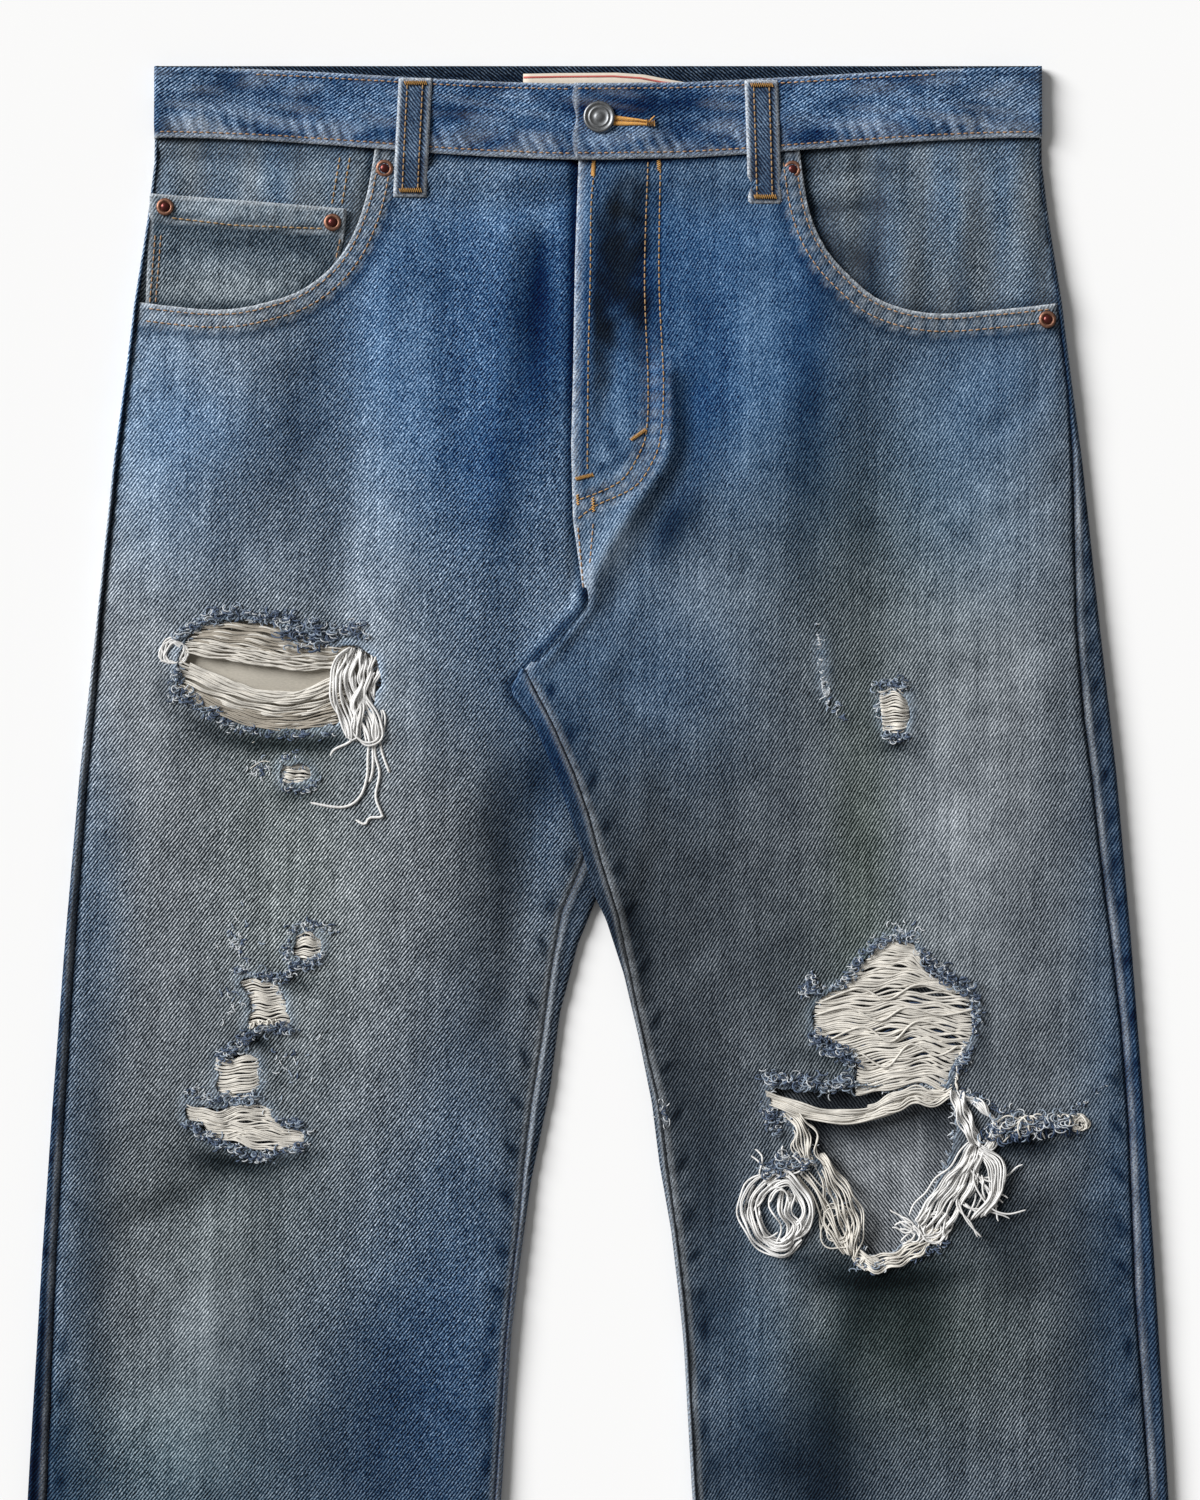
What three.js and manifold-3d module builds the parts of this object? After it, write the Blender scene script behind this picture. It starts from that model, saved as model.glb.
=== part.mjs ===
// Ripped five-pocket jeans, lying flat on their back with the front up.
// Millimetres. +X is the wearer's left, +Y the waist, +Z up, and the floor is z = 0.
// Places on the cloth are given as x and as "down", the distance down from the top of the waist.
import * as THREE from "three";
import { mergeVertices } from "three/addons/utils/BufferGeometryUtils.js";
import Module from "manifold-3d";

const wasm = await Module();
wasm.setup();

// Driving dimensions
const length = 1080; // waist to hem
const waistHalf = 231; // half of the flat waist
const cloth = 1; // thickness of the denim
const gap = 0.3; // between two pieces that touch
const ply = cloth + gap; // one layer of cloth with its gap
const noseChamfer = 1.4; // corner of the folded side edges
const hemHeight = 18;
const bandCloth = 2; // the waistband is doubled cloth
const bandHeight = 38;
const frontDip = 10; // how far the front of the waist hangs below the back
const crotchDown = 322;
const flapDown = 314; // top of the inseam on the fold between the legs
const seatDown = 292; // lower end of the raised seat
const yokeSide = 76;
const yokeCentre = 112;

// Levels of the layers, from the floor up
const seatLevel = ply; // the seat lies on the back pockets and back belt loops
const bagLevel = seatLevel + ply;
const facingLevel = bagLevel + ply;
const coinLevel = facingLevel + ply;
const legLevel = 4.3; // underside of the front of a leg
const bandLevel = 4.6; // underside of the front waistband

// Outlines: [down, x] pairs. The two outer edges mirror each other.
const outerEdge = [
  [0, 231], [50, 231], [80, 234.5], [125, 241.5], [165, 246.5], [205, 252], [290, 261],
  [370, 270], [455, 277.5], [540, 284], [620, 289.5], [745, 297], [length, 313],
];
// How far the side seams lie in from the outer edges, on top of the leg
const sideStripRight = [[0, 2.2], [290, 2.2], [330, 4], [420, 5], [520, 6.5], [620, 7.5], [745, 10]];
const sideStripLeft = [
  [0, 2.2], [168, 2.2], [230, 7], [290, 12], [340, 13.5], [410, 12], [500, 8.5], [550, 8.5], [640, 11],
    [745, 9.5],
];
// Inner edge of the right leg and its inseam; the top of both lies under the left leg
const innerEdgeRight = [
  [crotchDown, -12.2], [350, 6], [380, 13], [405, 11], [434, -1], [457, -10.4], [493, -19.8], [533, -25],
  [581, -35], [623, -40.7], [660, -45.2], [745, -50.4], [length, -81.6],
];
const inseamRight = [
  [38, 6], [257, 6], [300, -2], [crotchDown, -17], [350, -5], [380, -1], [400, -3.5], [416, -8.5],
    [440, -18.7],
  [469, -24], [506, -29], [540, -34.6], [572, -38.5], [606, -41.5], [640, -45.5], [665, -48],
    [745, -53.4], [length, -84.2],
];
// Inner edge of the left leg, its fly edge and its inseam
const innerEdgeLeft = [
  [flapDown, -40.4], [325.5, -45.8], [342, -33.8], [369, -21.8], [412, -7.3], [434, -1], [444, 4],
    [473, 13.4],
  [506, 21.2], [540, 28], [572, 32], [606, 38], [640, 42], [665, 44.6], [745, 49], [length, 81.6],
];
const inseamLeft = [
  [38, -10], [102, -12], [160, -13], [199, -14], [237, -13], [276, -7.5], [281, -8], [293, -19],
    [flapDown, -38],
  [342, -23.5], [369, -11.7], [390, -4.4], [412, 1.3], [442, 10.7], [473, 17.2], [506, 24], [540, 32.4],
    [572, 36.4],
  [606, 41], [640, 45], [665, 47], [745, 51.5], [length, 84.2],
];
// Back rise
const backRise = [[38, 0], [250, 0], [crotchDown, -12]];
// Underside of the front panels
const frontLevel = [[0, coinLevel], [345, coinLevel], [420, legLevel]];
const seatRows = [125, 205, 257, seatDown, seatDown + 10, flapDown, crotchDown];
const crotchRows = [325.5, 342, 350, 369, 380, 390, 405, 412, 434, 444, 457, 473];
const legRows = [506, 540, 572, 606, 640, 665, 745, length - hemHeight - 2, length - hemHeight, length];

// Value of a [down, value] table, straight between its points
function read(table, down) {
  const after = table.findIndex(([at]) => at >= down);
  if (after === 0) return table[0][1];
  if (after < 0) return table.at(-1)[1];
  const [[d0, v0], [d1, v1]] = [table[after - 1], table[after]];
  return v0 + ((v1 - v0) * (down - d0)) / (d1 - d0);
}

const place = (x, down, z) => [x, length / 2 - down, z];
const limit = (v) => Math.min(Math.max(v, 0), 1);
const hemmed = (down) => (down >= length - hemHeight ? 2 * cloth : cloth);
const isLeft = (side) => side > 0;

// Bell shape over the width of the front waist: 1 at the centre, 0 at the sides
const waistBell = (x) => 0.5 + 0.5 * Math.cos((Math.PI * x) / waistHalf);
const frontTop = (x) => 1.5 + (frontDip - 1.5) * waistBell(x);
const frontBandBottom = (x) => bandHeight + (frontDip + 1.5) * waistBell(x);
const yokeLine = (x) => yokeCentre - ((yokeCentre - yokeSide) * Math.abs(x)) / waistHalf;

// Inner side of the right front, which the left front lies over
const coveredEdge = (down) => (down < crotchDown ? read(inseamRight, down) : read(innerEdgeRight, down));

// How much the left front rises where it lies over the right front and the right leg
function lift(x, down) {
  const most = read([[300, ply], [flapDown, 2 * ply]], down);
  return most * limit(1 - (x - coveredEdge(down) - 8) / 18);
}

// Underside of the left leg's back panel, which climbs onto the right leg
function backUnderLeft(x, down) {
  return (read(frontLevel, down) + ply) * limit(1 - (x - coveredEdge(down) - 1.5) / 20);
}

// The seat's height over the back pockets, loops and yoke
function seatHeight(x, down) {
  const across = limit((read(outerEdge, down) - Math.abs(x) - 27) / 10);
  const along = limit((seatDown + 10 - down) / 10);
  return seatLevel * across * along;
}

// A sheet of cloth as one closed body: rows of pairs, each an outer and an inner point
function sheet(rows) {
  const across = rows[0].length;
  const last = rows.length - 1;
  const points = rows.flat().flatMap(([outer, inner]) => [...outer, ...inner]);
  const outerAt = (i, j) => 2 * (i * across + j);
  const innerAt = (i, j) => outerAt(i, j) + 1;
  const faces = [];
  const quad = (a, b, c, d) => faces.push(a, b, c, a, c, d);
  for (let i = 0; i < last; i++) {
    for (let j = 0; j < across - 1; j++) {
      quad(outerAt(i, j), outerAt(i, j + 1), outerAt(i + 1, j + 1), outerAt(i + 1, j));
      quad(innerAt(i, j), innerAt(i + 1, j), innerAt(i + 1, j + 1), innerAt(i, j + 1));
    }
    quad(outerAt(i, 0), outerAt(i + 1, 0), innerAt(i + 1, 0), innerAt(i, 0));
    quad(outerAt(i + 1, across - 1), outerAt(i, across - 1), innerAt(i, across - 1),
      innerAt(i + 1, across - 1));
  }
  for (let j = 0; j < across - 1; j++) {
    quad(outerAt(0, j + 1), outerAt(0, j), innerAt(0, j), innerAt(0, j + 1));
    quad(outerAt(last, j), outerAt(last, j + 1), innerAt(last, j + 1), innerAt(last, j));
  }
  return solid(points, faces);
}

// A manifold-3d solid, turned the right way round if its faces point inwards
function solid(points, faces) {
  const build = (triVerts) =>
    new wasm.Manifold(
      new wasm.Mesh({ numProp: 3, vertProperties: new Float32Array(points),
        triVerts: new Uint32Array(triVerts) }),
    );
  const made = build(faces);
  return made.volume() > 0 ? made : build([...faces].reverse());
}

// The solid of a three.js geometry
function solidOf(geometry) {
  const bare = geometry.clone().deleteAttribute("normal").deleteAttribute("uv");
  const merged = mergeVertices(bare, 1e-4);
  return solid(merged.attributes.position.array, [...merged.index.array]);
}

// A flat piece: an outline of [x, down] points with a level and a thickness
function plate(outline, level, thickness) {
  const shape = new THREE.Shape(outline.map(([x, down]) => new THREE.Vector2(x, length / 2 - down)));
  const geometry = new THREE.ExtrudeGeometry(shape, { depth: thickness, bevelEnabled: false });
  return solidOf(geometry.translate(0, 0, level));
}

// Smooth curve through hand-placed [x, down] points
function curve(points, steps) {
  const through = new THREE.SplineCurve(points.map(([x, down]) => new THREE.Vector2(x, down)));
  return through.getPoints(steps).map(({ x, y }) => [x, y]);
}

// Outline made smaller about its middle, so that what fills a hole stays clear of its edge
function inside(outline, share) {
  const middle = [0, 1].map((k) => outline.reduce((sum, point) => sum + point[k], 0) / outline.length);
  return outline.map((point) => point.map((value, k) => middle[k] + (value - middle[k]) * share));
}

const rectangle = (x0, x1, d0, d1) => [[x0, d0], [x1, d0], [x1, d1], [x0, d1]];

// Pocket openings: the curve of each opening, from the waistband to the side
const scoops = {
  right: curve([[-115, 38], [-121, 71], [-132, 97], [-149, 114], [-170, 123], [-200, 127.5],
    [-250, 122]], 12),
  left: curve([[104, 38], [109, 73], [118, 95], [133, 112], [149, 123.5], [175, 129.5], [213, 127],
    [254, 122]], 12),
};
const scoopOutline = (side) => [...scoops[side], [Math.sign(scoops[side][0][0]) * 255, 30],
  [scoops[side][0][0], 30]];

// Holes: outlines of the rips
const rips = {
  thigh: [[-218, 298], [-202, 286], [-151, 289], [-124, 292], [-111, 310], [-134, 346], [-171, 348],
    [-199, 338], [-220, 328]],
  spotRight: rectangle(-165, -148, 364, 375),
  shinTop: [[-144, 447], [-141, 462], [-158, 476], [-163, 498], [-177, 498], [-179, 476], [-166, 468],
    [-160, 456]],
  shinMiddle: [[-197, 514], [-178, 512], [-176, 532], [-198, 535]],
  shinBottom: [[-214, 541], [-180, 539], [-173, 549], [-156, 552], [-156, 563], [-181, 566],
    [-199, 562], [-214, 551]],
  spotLeft: rectangle(145, 161, 327, 344),
  kneeTop: [[156, 454], [171, 458], [181, 478], [197, 480], [197, 506], [183, 529], [131, 529],
    [125, 508], [110, 503], [110, 487], [130, 470]],
  kneeHole: [[100, 538], [131, 531.5], [183, 531.5], [191, 560], [186, 596], [168, 617], [145, 620],
    [128, 608], [112, 590], [103, 560]],
};

// Cuts for these outlines go right through the fronts
const cut = (outline) => plate(outline, 2 * cloth, 12);

// Right front, on top of the back between the side seam and the fly or inseam
function frontRight() {
  const row = (down) => {
    const from = read(sideStripRight, down) - read(outerEdge, down) + gap;
    const to = read(inseamRight, down) - gap;
    return [0, 0.25, 0.5, 0.75, 1].map((share) => from + (to - from) * share);
  };
  const pair = (x, down) => {
    const top = read(frontLevel, down) + cloth;
    return [place(x, down, top), place(x, down, top - hemmed(down))];
  };
  const waistRow = row(bandHeight).map((x) => pair(x, frontBandBottom(x) + gap));
  const lowerRows = [70, ...seatRows, ...crotchRows,
    ...legRows].map((down) => row(down).map((x) => pair(x, down)));
  return [scoopOutline("right"), rips.thigh, rips.spotRight, rips.shinTop, rips.shinMiddle,
    rips.shinBottom].reduce(
    (body, outline) => body.subtract(cut(outline)),
    sheet([waistRow, ...lowerRows]),
  );
}

// Left front: over the right front at the fly, and over the right leg below it
function frontLeft() {
  const row = (down) => {
    const from = read(inseamLeft, down) + (down > flapDown ? gap : 0);
    const to = read(outerEdge, down) - read(sideStripLeft, down) - gap;
    const high = Math.max(coveredEdge(down) + 8, from + 4);
    const low = Math.max(coveredEdge(down) + 26, high + 8);
    return [from, high, low, low + (to - low) / 3, low + ((to - low) * 2) / 3, to];
  };
  const pair = (x, down) => {
    const top = read(frontLevel, down) + cloth + lift(x, down);
    return [place(x, down, top), place(x, down, top - hemmed(down))];
  };
  const waistRow = row(bandHeight).map((x) => pair(x, frontBandBottom(x) + gap));
  const rows = [70, ...seatRows.slice(0, 3), 276, 281, seatDown + 1, ...seatRows.slice(5),
    ...crotchRows, ...legRows];
  const lowerRows = rows.map((down) => row(down).map((x) => pair(x, down)));
  return [scoopOutline("left"), rips.spotLeft, rips.kneeTop, rips.kneeHole].reduce(
    (body, outline) => body.subtract(cut(outline)),
    sheet([waistRow, ...lowerRows]),
  );
}

// The fold of the back panel round a side edge, from its seam on top to the underside
function outerFold(side, down) {
  const edge = read(outerEdge, down);
  const strip = read(isLeft(side) ? sideStripLeft : sideStripRight, down);
  const top = read(frontLevel, down) + cloth;
  const thick = hemmed(down);
  const reach = Math.max(noseChamfer, thick + 0.2);
  const fold = [
    [[edge - Math.max(strip, reach + 0.3), top], [edge - Math.max(strip, reach + 0.3), top - thick]],
    [[edge - noseChamfer, top], [edge - reach, top - thick]],
    [[edge, top - noseChamfer], [edge - thick, top - reach]],
    [[edge, noseChamfer], [edge - thick, reach]],
    [[edge - noseChamfer, 0], [edge - reach, thick]],
  ];
  return fold.map((pair) => pair.map(([x, z]) => [side * x, z]));
}

const outerUnder = (side, down, height) =>
  [27, 37].map((inwards) => {
    const x = side * (read(outerEdge, down) - inwards);
    return [[x, height(x)], [x, height(x) + hemmed(down)]];
  });

// The fold of the back panel round the inner edge of a leg, ending at the inseam on top
function innerFold(side, down) {
  const edge = read(isLeft(side) ? innerEdgeLeft : innerEdgeRight, down);
  const seam = read(isLeft(side) ? inseamLeft : inseamRight, down);
  const low = isLeft(side) ? backUnderLeft(edge, down) : 0;
  const top = read(frontLevel, down) + cloth + (isLeft(side) ? lift(edge, down) : 0);
  const thick = hemmed(down);
  const chamfer = Math.min(noseChamfer, (top - low) / 2 - 0.05);
  const reach = Math.max(chamfer, thick + 0.1);
  const strip = Math.max(Math.abs(seam - edge), reach + 0.1);
  const innerHigh = Math.max(top - reach, low + thick);
  const innerLow = Math.min(low + reach, top - thick);
  return [
    [[edge + side * chamfer, low], [edge + side * reach, low + thick]],
    [[edge, low + chamfer], [edge + side * thick, Math.min(innerLow, innerHigh)]],
    [[edge, top - chamfer], [edge + side * thick, Math.max(innerLow, innerHigh)]],
    [[edge + side * chamfer, top], [edge + side * reach, top - thick]],
    [[edge + side * strip, top], [edge + side * strip, top - thick]],
  ];
}

const atDown = (down) => ([outer, inner]) => [place(outer[0], down, outer[1]),
  place(inner[0], down, inner[1])];

// Seat: one layer with its outer fold, from the yoke to a little below the crotch
function seat(side, topLine, bottomRows, topRows) {
  const columns = (down, end) => [
    ...outerFold(side, down),
    ...outerUnder(side, down, (x) => seatHeight(x, down)),
    ...[side * 115, end].map((x) => [[x, seatHeight(x, down)], [x, seatHeight(x, down) + cloth]]),
  ];
  const rise = (down) => read(backRise, down) + (side * gap) / 2;
  const lined = topRows.map((line) => columns(topLine,
    rise(topLine)).map((pair) => atDown(line(pair[0][0]))(pair)));
  const level = bottomRows.map(([down, end]) => columns(down, end ?? rise(down)).map(atDown(down)));
  return sheet([...lined, ...level]);
}

function yoke(side) {
  return seat(side, 60, [], [() => bandHeight + gap, yokeLine]);
}

function backPanel(side) {
  const start = isLeft(side) ? flapDown : crotchDown;
  const below = isLeft(side) ? 26 : -8;
  const seatPart = seat(side, 90, [...seatRows.map((down) => [down]), [342, below]],
    [(x) => yokeLine(x) + gap]);
  const legDowns = [...seatRows, ...crotchRows, ...legRows].filter((down) => down >= start);
  const legPart = legDowns.map((down) => {
    const thick = hemmed(down);
    const edge = read(isLeft(side) ? innerEdgeLeft : innerEdgeRight, down);
    const climb = isLeft(side) ? Math.max(coveredEdge(down) + 21.5, edge + 24) : edge - 24;
    const over = isLeft(side) ? Math.max(coveredEdge(down) + 1.5, edge + 4) : edge - 4;
    const under = (x) => (isLeft(side) ? backUnderLeft(x, down) : 0);
    const flat = [climb, over].map((x) => [[x, under(x)], [x, under(x) + thick]]);
    return [...outerFold(side, down), ...outerUnder(side, down, () => 0), ...flat,
      ...innerFold(side, down)].map(atDown(down));
  });
  return seatPart.add(sheet(legPart));
}

// Waistband: one doubled strip from the right end at the front, round the back, to the left end
const bandEnds = { right: 16, left: -12.5 };
const bandOver = bandLevel + bandCloth + gap; // underside of the left end, on the right end

function waistband() {
  const front = (x, low) => ({ x, outer: low + bandCloth, inner: low, top: frontTop(x),
    bottom: frontBandBottom(x) });
  const back = (x) => ({ x, outer: seatLevel, inner: seatLevel + bandCloth, top: 0, bottom: bandHeight });
  const nose = (side) => {
    const reach = waistHalf - bandCloth;
    const high = bandLevel + bandCloth;
    const turn = { top: 0.75, bottom: bandHeight };
    return [
      { x: side * (waistHalf - 1.5), xIn: side * (reach - 1), outer: high, inner: bandLevel, ...turn },
      { x: side * waistHalf, xIn: side * reach, outer: high - 1.5, inner: bandLevel - 0.2, ...turn },
      { x: side * waistHalf, xIn: side * reach, outer: seatLevel + 1.5,
        inner: seatLevel + bandCloth + 0.2, ...turn },
      { x: side * (waistHalf - 1.5), xIn: side * (reach - 1), outer: seatLevel,
        inner: seatLevel + bandCloth, ...turn },
    ];
  };
  const path = [
    ...[bandEnds.right, -40, -85, -130, -175, -215].map((x) => front(x, bandLevel)),
    ...nose(-1),
    ...[-120, 0, 120].map(back),
    ...nose(1).reverse(),
    ...[215, 175, 130, 85, 36].map((x) => front(x, bandLevel)),
    ...[22, bandEnds.left].map((x) => front(x, bandOver)),
  ];
  const row = (edge) => path.map((p) => [place(p.x, p[edge], p.outer),
    place(p.xIn ?? p.x, p[edge], p.inner)]);
  return sheet([row("top"), row("bottom")]).subtract(buttonhole());
}

// Button and buttonhole
const button = { x: 0.5, down: 28, radius: 8.2, shank: 2.2, head: 2.2 };

function buttonhole() {
  const eyelet = new THREE.Shape().absarc(button.x, length / 2 - button.down, button.shank + 1, 0,
    2 * Math.PI);
  const hole = new THREE.ExtrudeGeometry(eyelet, { depth: 6, bevelEnabled: false, curveSegments: 8 });
  const slit = plate(rectangle(button.x, 24, button.down - 0.6, button.down + 0.6), bandOver - gap / 2,
    6);
  return solidOf(hole.translate(0, 0, bandOver - gap / 2)).add(slit);
}

// A round fastener: a [radius, height] profile turned about its axis and set upright
function turned(profile, sides, [x, down, level]) {
  const geometry = new THREE.LatheGeometry(profile.map(([r, h]) => new THREE.Vector2(r, h)), sides);
  return solidOf(geometry.rotateX(Math.PI / 2).translate(...place(x, down, level)));
}

function shankButton() {
  const under = bandCloth + 2 * gap; // the head clears the left end of the band
  const { radius, shank, head } = button;
  const profile = [
    [0, 0], [shank, 0], [shank, under], [radius - 0.6, under], [radius, under + 0.7],
      [radius - 0.4, under + head],
    [radius - 1.6, under + head], [radius - 2.1, under + head - 0.5], [0, under + head - 0.3],
  ];
  return turned(profile, 20, [button.x, button.down, bandOver]);
}

const rivetProfile = [[0, 0], [4.4, 0], [4.4, 0.4], [3, 1], [1.4, 1.1], [0, 0.7]];

// A belt loop on the front: over the band and down onto the panel
function frontLoop([topLeft, bottomLeft, width, top, bottom]) {
  const over = bandLevel + bandCloth + gap;
  const levels = [[top, over], [bandHeight + 7, over], [bandHeight + 16, coinLevel + ply],
    [bottom, coinLevel + ply]];
  const left = (down) => topLeft + ((bottomLeft - topLeft) * (down - top)) / (bottom - top);
  return sheet(
    levels.map(([down, low]) =>
      [left(down), left(down) + width].map((x) => [place(x, down, low + cloth), place(x, down, low)]),
    ),
  );
}

// The part of the coin pocket that shows in the pocket opening
function coinPocket() {
  const outline = [[-229.5, 66], [-130.5, 75], [-137, 140], [-229.5, 140]];
  const opening = scoopOutline("right").map(([x, down]) => [x - 0.5, down - 0.6]);
  return plate(outline, coinLevel, cloth).intersect(plate(opening, coinLevel - 1, 3));
}

const facing = (side) =>
  plate([[side * 96, 50.5], [side * 229, 39], [side * 230.5, 76], [side * 238, 140], [side * 150, 145],
    [side * 96, 110]], facingLevel, cloth);

const backPocket = (side) =>
  plate([[side * 44, 128], [side * 186, 118], [side * 178, 262], [side * 112, 284], [side * 50, 266]],
    0, cloth);

const pocketBag = () =>
  plate([[-92, 54], [-226, 45], [-232, 100], [-244, 292], [-238, 322], [-206, 338], [-128, 338],
    [-100, 320]], bagLevel, cloth);

// Materials
const finish = (color, roughness, metalness = 0) => new THREE.MeshStandardMaterial({ color, roughness,
  metalness });
const looks = {
  denim: () => finish("#4d6684", 0.95),
  trim: () => finish("#5a7391", 0.95),
  lining: () => finish("#c9bfae", 0.95),
  thread: () => finish("#e6e2d8", 0.95),
  label: () => finish("#e9e1d3", 0.9),
  steel: () => finish("#8d9095", 0.4, 1),
  copper: () => finish("#a8664a", 0.45, 1),
};

const jeans = new THREE.Group();

function add(name, body, look) {
  const mesh = body.getMesh();
  const geometry = new THREE.BufferGeometry();
  geometry.setAttribute("position", new THREE.BufferAttribute(mesh.vertProperties, mesh.numProp));
  geometry.setIndex(new THREE.BufferAttribute(mesh.triVerts, 1));
  geometry.computeVertexNormals();
  const piece = new THREE.Mesh(geometry, looks[look]());
  piece.name = name;
  jeans.add(piece);
}

// Main panels, then the pockets and the waist
add("front_right", frontRight(), "denim");
add("front_left", frontLeft(), "denim");
for (const [name, side] of [["right", -1], ["left", 1]]) {
  add(`back_${name}`, backPanel(side), "denim");
  add(`yoke_${name}`, yoke(side), "denim");
  add(`back_pocket_${name}`, backPocket(side), "denim");
  add(`pocket_facing_${name}`, facing(side), "denim");
}
add("coin_pocket", coinPocket(), "denim");
add("pocket_bag_right", pocketBag(), "lining");
add("waistband", waistband(), "trim");
add("label", plate(rectangle(-39, 47.5, 2, 28), seatLevel + bandCloth + gap, 0.6), "label");

// Belt loops: two at the front, three at the back
add("loop_front_right", frontLoop([-103.5, -106.5, 17.5, 7.3, 69]), "trim");
add("loop_front_left", frontLoop([76, 78, 17.5, 8.3, 72.5]), "trim");
for (const [name, x] of [["right", -150], ["centre", 0], ["left", 150]]) {
  add(`loop_back_${name}`, plate(rectangle(x - 8.7, x + 8.7, 0, 56), 0, cloth), "trim");
}

// Metal
add("button", shankButton(), "steel");
const rivetLevel = coinLevel + ply;
const rivets = [["pocket_right", -111, 54], ["coin_outer", -225, 74], ["coin_inner", -138, 82],
  ["pocket_left", 101, 54.5], ["side_left", 233.5, 132.5]];
for (const [name, x, down] of rivets) {
  add(`rivet_${name}`, turned(rivetProfile, 12, [x, down, rivetLevel]), "copper");
}

// Bare weft threads in the rips, and the fringe that hangs out of them
const thighLevel = coinLevel + 0.1;
const kneeLevel = legLevel + 0.1;
const bare = cloth - 0.2; // the threads are a little thinner than the cloth
add("weft_thigh_upper", plate([[-214, 300], [-200, 296], [-128, 297], [-116, 310], [-150, 314],
  [-200, 311]], thighLevel, bare), "thread");
add("weft_thigh_lower", plate([[-216, 319], [-195, 327], [-150, 330], [-126, 326], [-136, 342],
  [-171, 344], [-198, 335]], thighLevel, bare), "thread");
const spotRise = 0.45; // the cloth stands a little higher at this small rip
add("weft_spot_right", plate(inside(rips.spotRight, 0.92), kneeLevel + spotRise, bare), "thread");
for (const [name, rip] of [["shin_top", rips.shinTop], ["shin_middle", rips.shinMiddle],
  ["shin_bottom", rips.shinBottom]]) {
  add(`weft_${name}`, plate(inside(rip, 0.92), kneeLevel, bare), "thread");
}
add("weft_spot_left", plate(inside(rips.spotLeft, 0.92), thighLevel, bare), "thread");
add("weft_knee", plate(inside(rips.kneeTop, 0.97), kneeLevel, bare), "thread");
add("weft_knee_sling", plate([[104, 541], [118, 549], [140, 544], [180, 535], [183, 541], [142, 556],
  [116, 558], [104, 550]], kneeLevel, bare), "thread");

const tuft = (points, level) => plate(curve([...points, points[0]], 12).slice(0, -1), level, 2);
add("fringe_thigh", tuft([[-126, 304], [-112, 312], [-114, 345], [-122, 356], [-134, 340], [-130, 318]],
  coinLevel + ply), "thread");
add("fringe_knee_inner", tuft([[74, 590], [92, 573], [112, 590], [136, 600], [132, 619], [108, 614],
  [84, 618]], legLevel + ply), "thread");
add("fringe_knee_outer", tuft([[196, 536], [208, 560], [206, 590], [176, 612], [162, 606], [184, 580]],
  legLevel + ply), "thread");
add("fringe_knee_side", tuft([[214, 548], [256, 549], [257, 558], [214, 560]], legLevel + ply), "thread");

export default jeans;
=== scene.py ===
import math
import random

import bmesh
import bpy
import numpy as np
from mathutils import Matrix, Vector


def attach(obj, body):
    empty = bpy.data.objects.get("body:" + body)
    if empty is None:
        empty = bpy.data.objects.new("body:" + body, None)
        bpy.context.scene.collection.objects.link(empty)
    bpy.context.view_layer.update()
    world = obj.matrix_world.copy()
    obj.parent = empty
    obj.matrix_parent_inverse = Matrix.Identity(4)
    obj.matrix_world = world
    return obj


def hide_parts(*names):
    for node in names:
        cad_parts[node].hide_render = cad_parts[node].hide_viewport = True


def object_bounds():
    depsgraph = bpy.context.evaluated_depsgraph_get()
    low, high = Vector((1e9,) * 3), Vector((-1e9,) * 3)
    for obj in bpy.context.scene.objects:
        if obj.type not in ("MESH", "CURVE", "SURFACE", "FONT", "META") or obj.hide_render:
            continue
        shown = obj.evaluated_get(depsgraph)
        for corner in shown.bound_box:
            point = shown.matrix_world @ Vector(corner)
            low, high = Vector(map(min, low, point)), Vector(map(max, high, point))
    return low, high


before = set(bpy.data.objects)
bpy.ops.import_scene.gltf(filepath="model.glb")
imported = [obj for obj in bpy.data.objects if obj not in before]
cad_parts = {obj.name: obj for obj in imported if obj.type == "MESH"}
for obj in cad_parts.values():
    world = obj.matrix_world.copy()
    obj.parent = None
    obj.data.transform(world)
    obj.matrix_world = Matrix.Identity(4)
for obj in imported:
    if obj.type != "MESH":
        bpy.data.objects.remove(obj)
frameBox = [list(corner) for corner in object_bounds()]

# Sizes are in millimetres unless a line says otherwise. A place on the cloth is x and
# down, the distance down from the top of the waist. Right and left are the wearer's.
mm = 0.001
waistY = frameBox[1][1]
garment = {
    "length": (frameBox[1][1] - frameBox[0][1]) / mm,
    "waistHalf": 231,
    "bandHeight": 38,
    "frontDip": 10,
    "yokeSide": 76,
    "flapDown": 314,
    "crotchDown": 322,
}
hemDown = garment["length"]

# Outlines: (down, x) pairs. The two outer edges mirror each other.
outerEdge = [
    (0, 231), (50, 231), (80, 234.5), (125, 241.5), (165, 246.5), (205, 252), (290, 261),
    (370, 270), (455, 277.5), (540, 284), (620, 289.5), (745, 297), (1080, 313),
]
sideStrip = {
    -1: [(0, 2.2), (290, 2.2), (330, 4), (420, 5), (520, 6.5), (620, 7.5), (745, 10)],
    1: [(0, 2.2), (168, 2.2), (230, 7), (290, 12), (340, 13.5), (410, 12), (500, 8.5),
        (550, 8.5), (640, 11), (745, 9.5)],
}
innerEdge = {
    -1: [(322, -12.2), (350, 6), (380, 13), (405, 11), (434, -1), (457, -10.4), (493, -19.8),
         (533, -25), (581, -35), (623, -40.7), (660, -45.2), (745, -50.4), (1080, -81.6)],
    1: [(314, -40.4), (325.5, -45.8), (342, -33.8), (369, -21.8), (412, -7.3), (434, -1),
        (444, 4), (473, 13.4), (506, 21.2), (540, 28), (572, 32), (606, 38), (640, 42),
        (665, 44.6), (745, 49), (1080, 81.6)],
}
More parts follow.
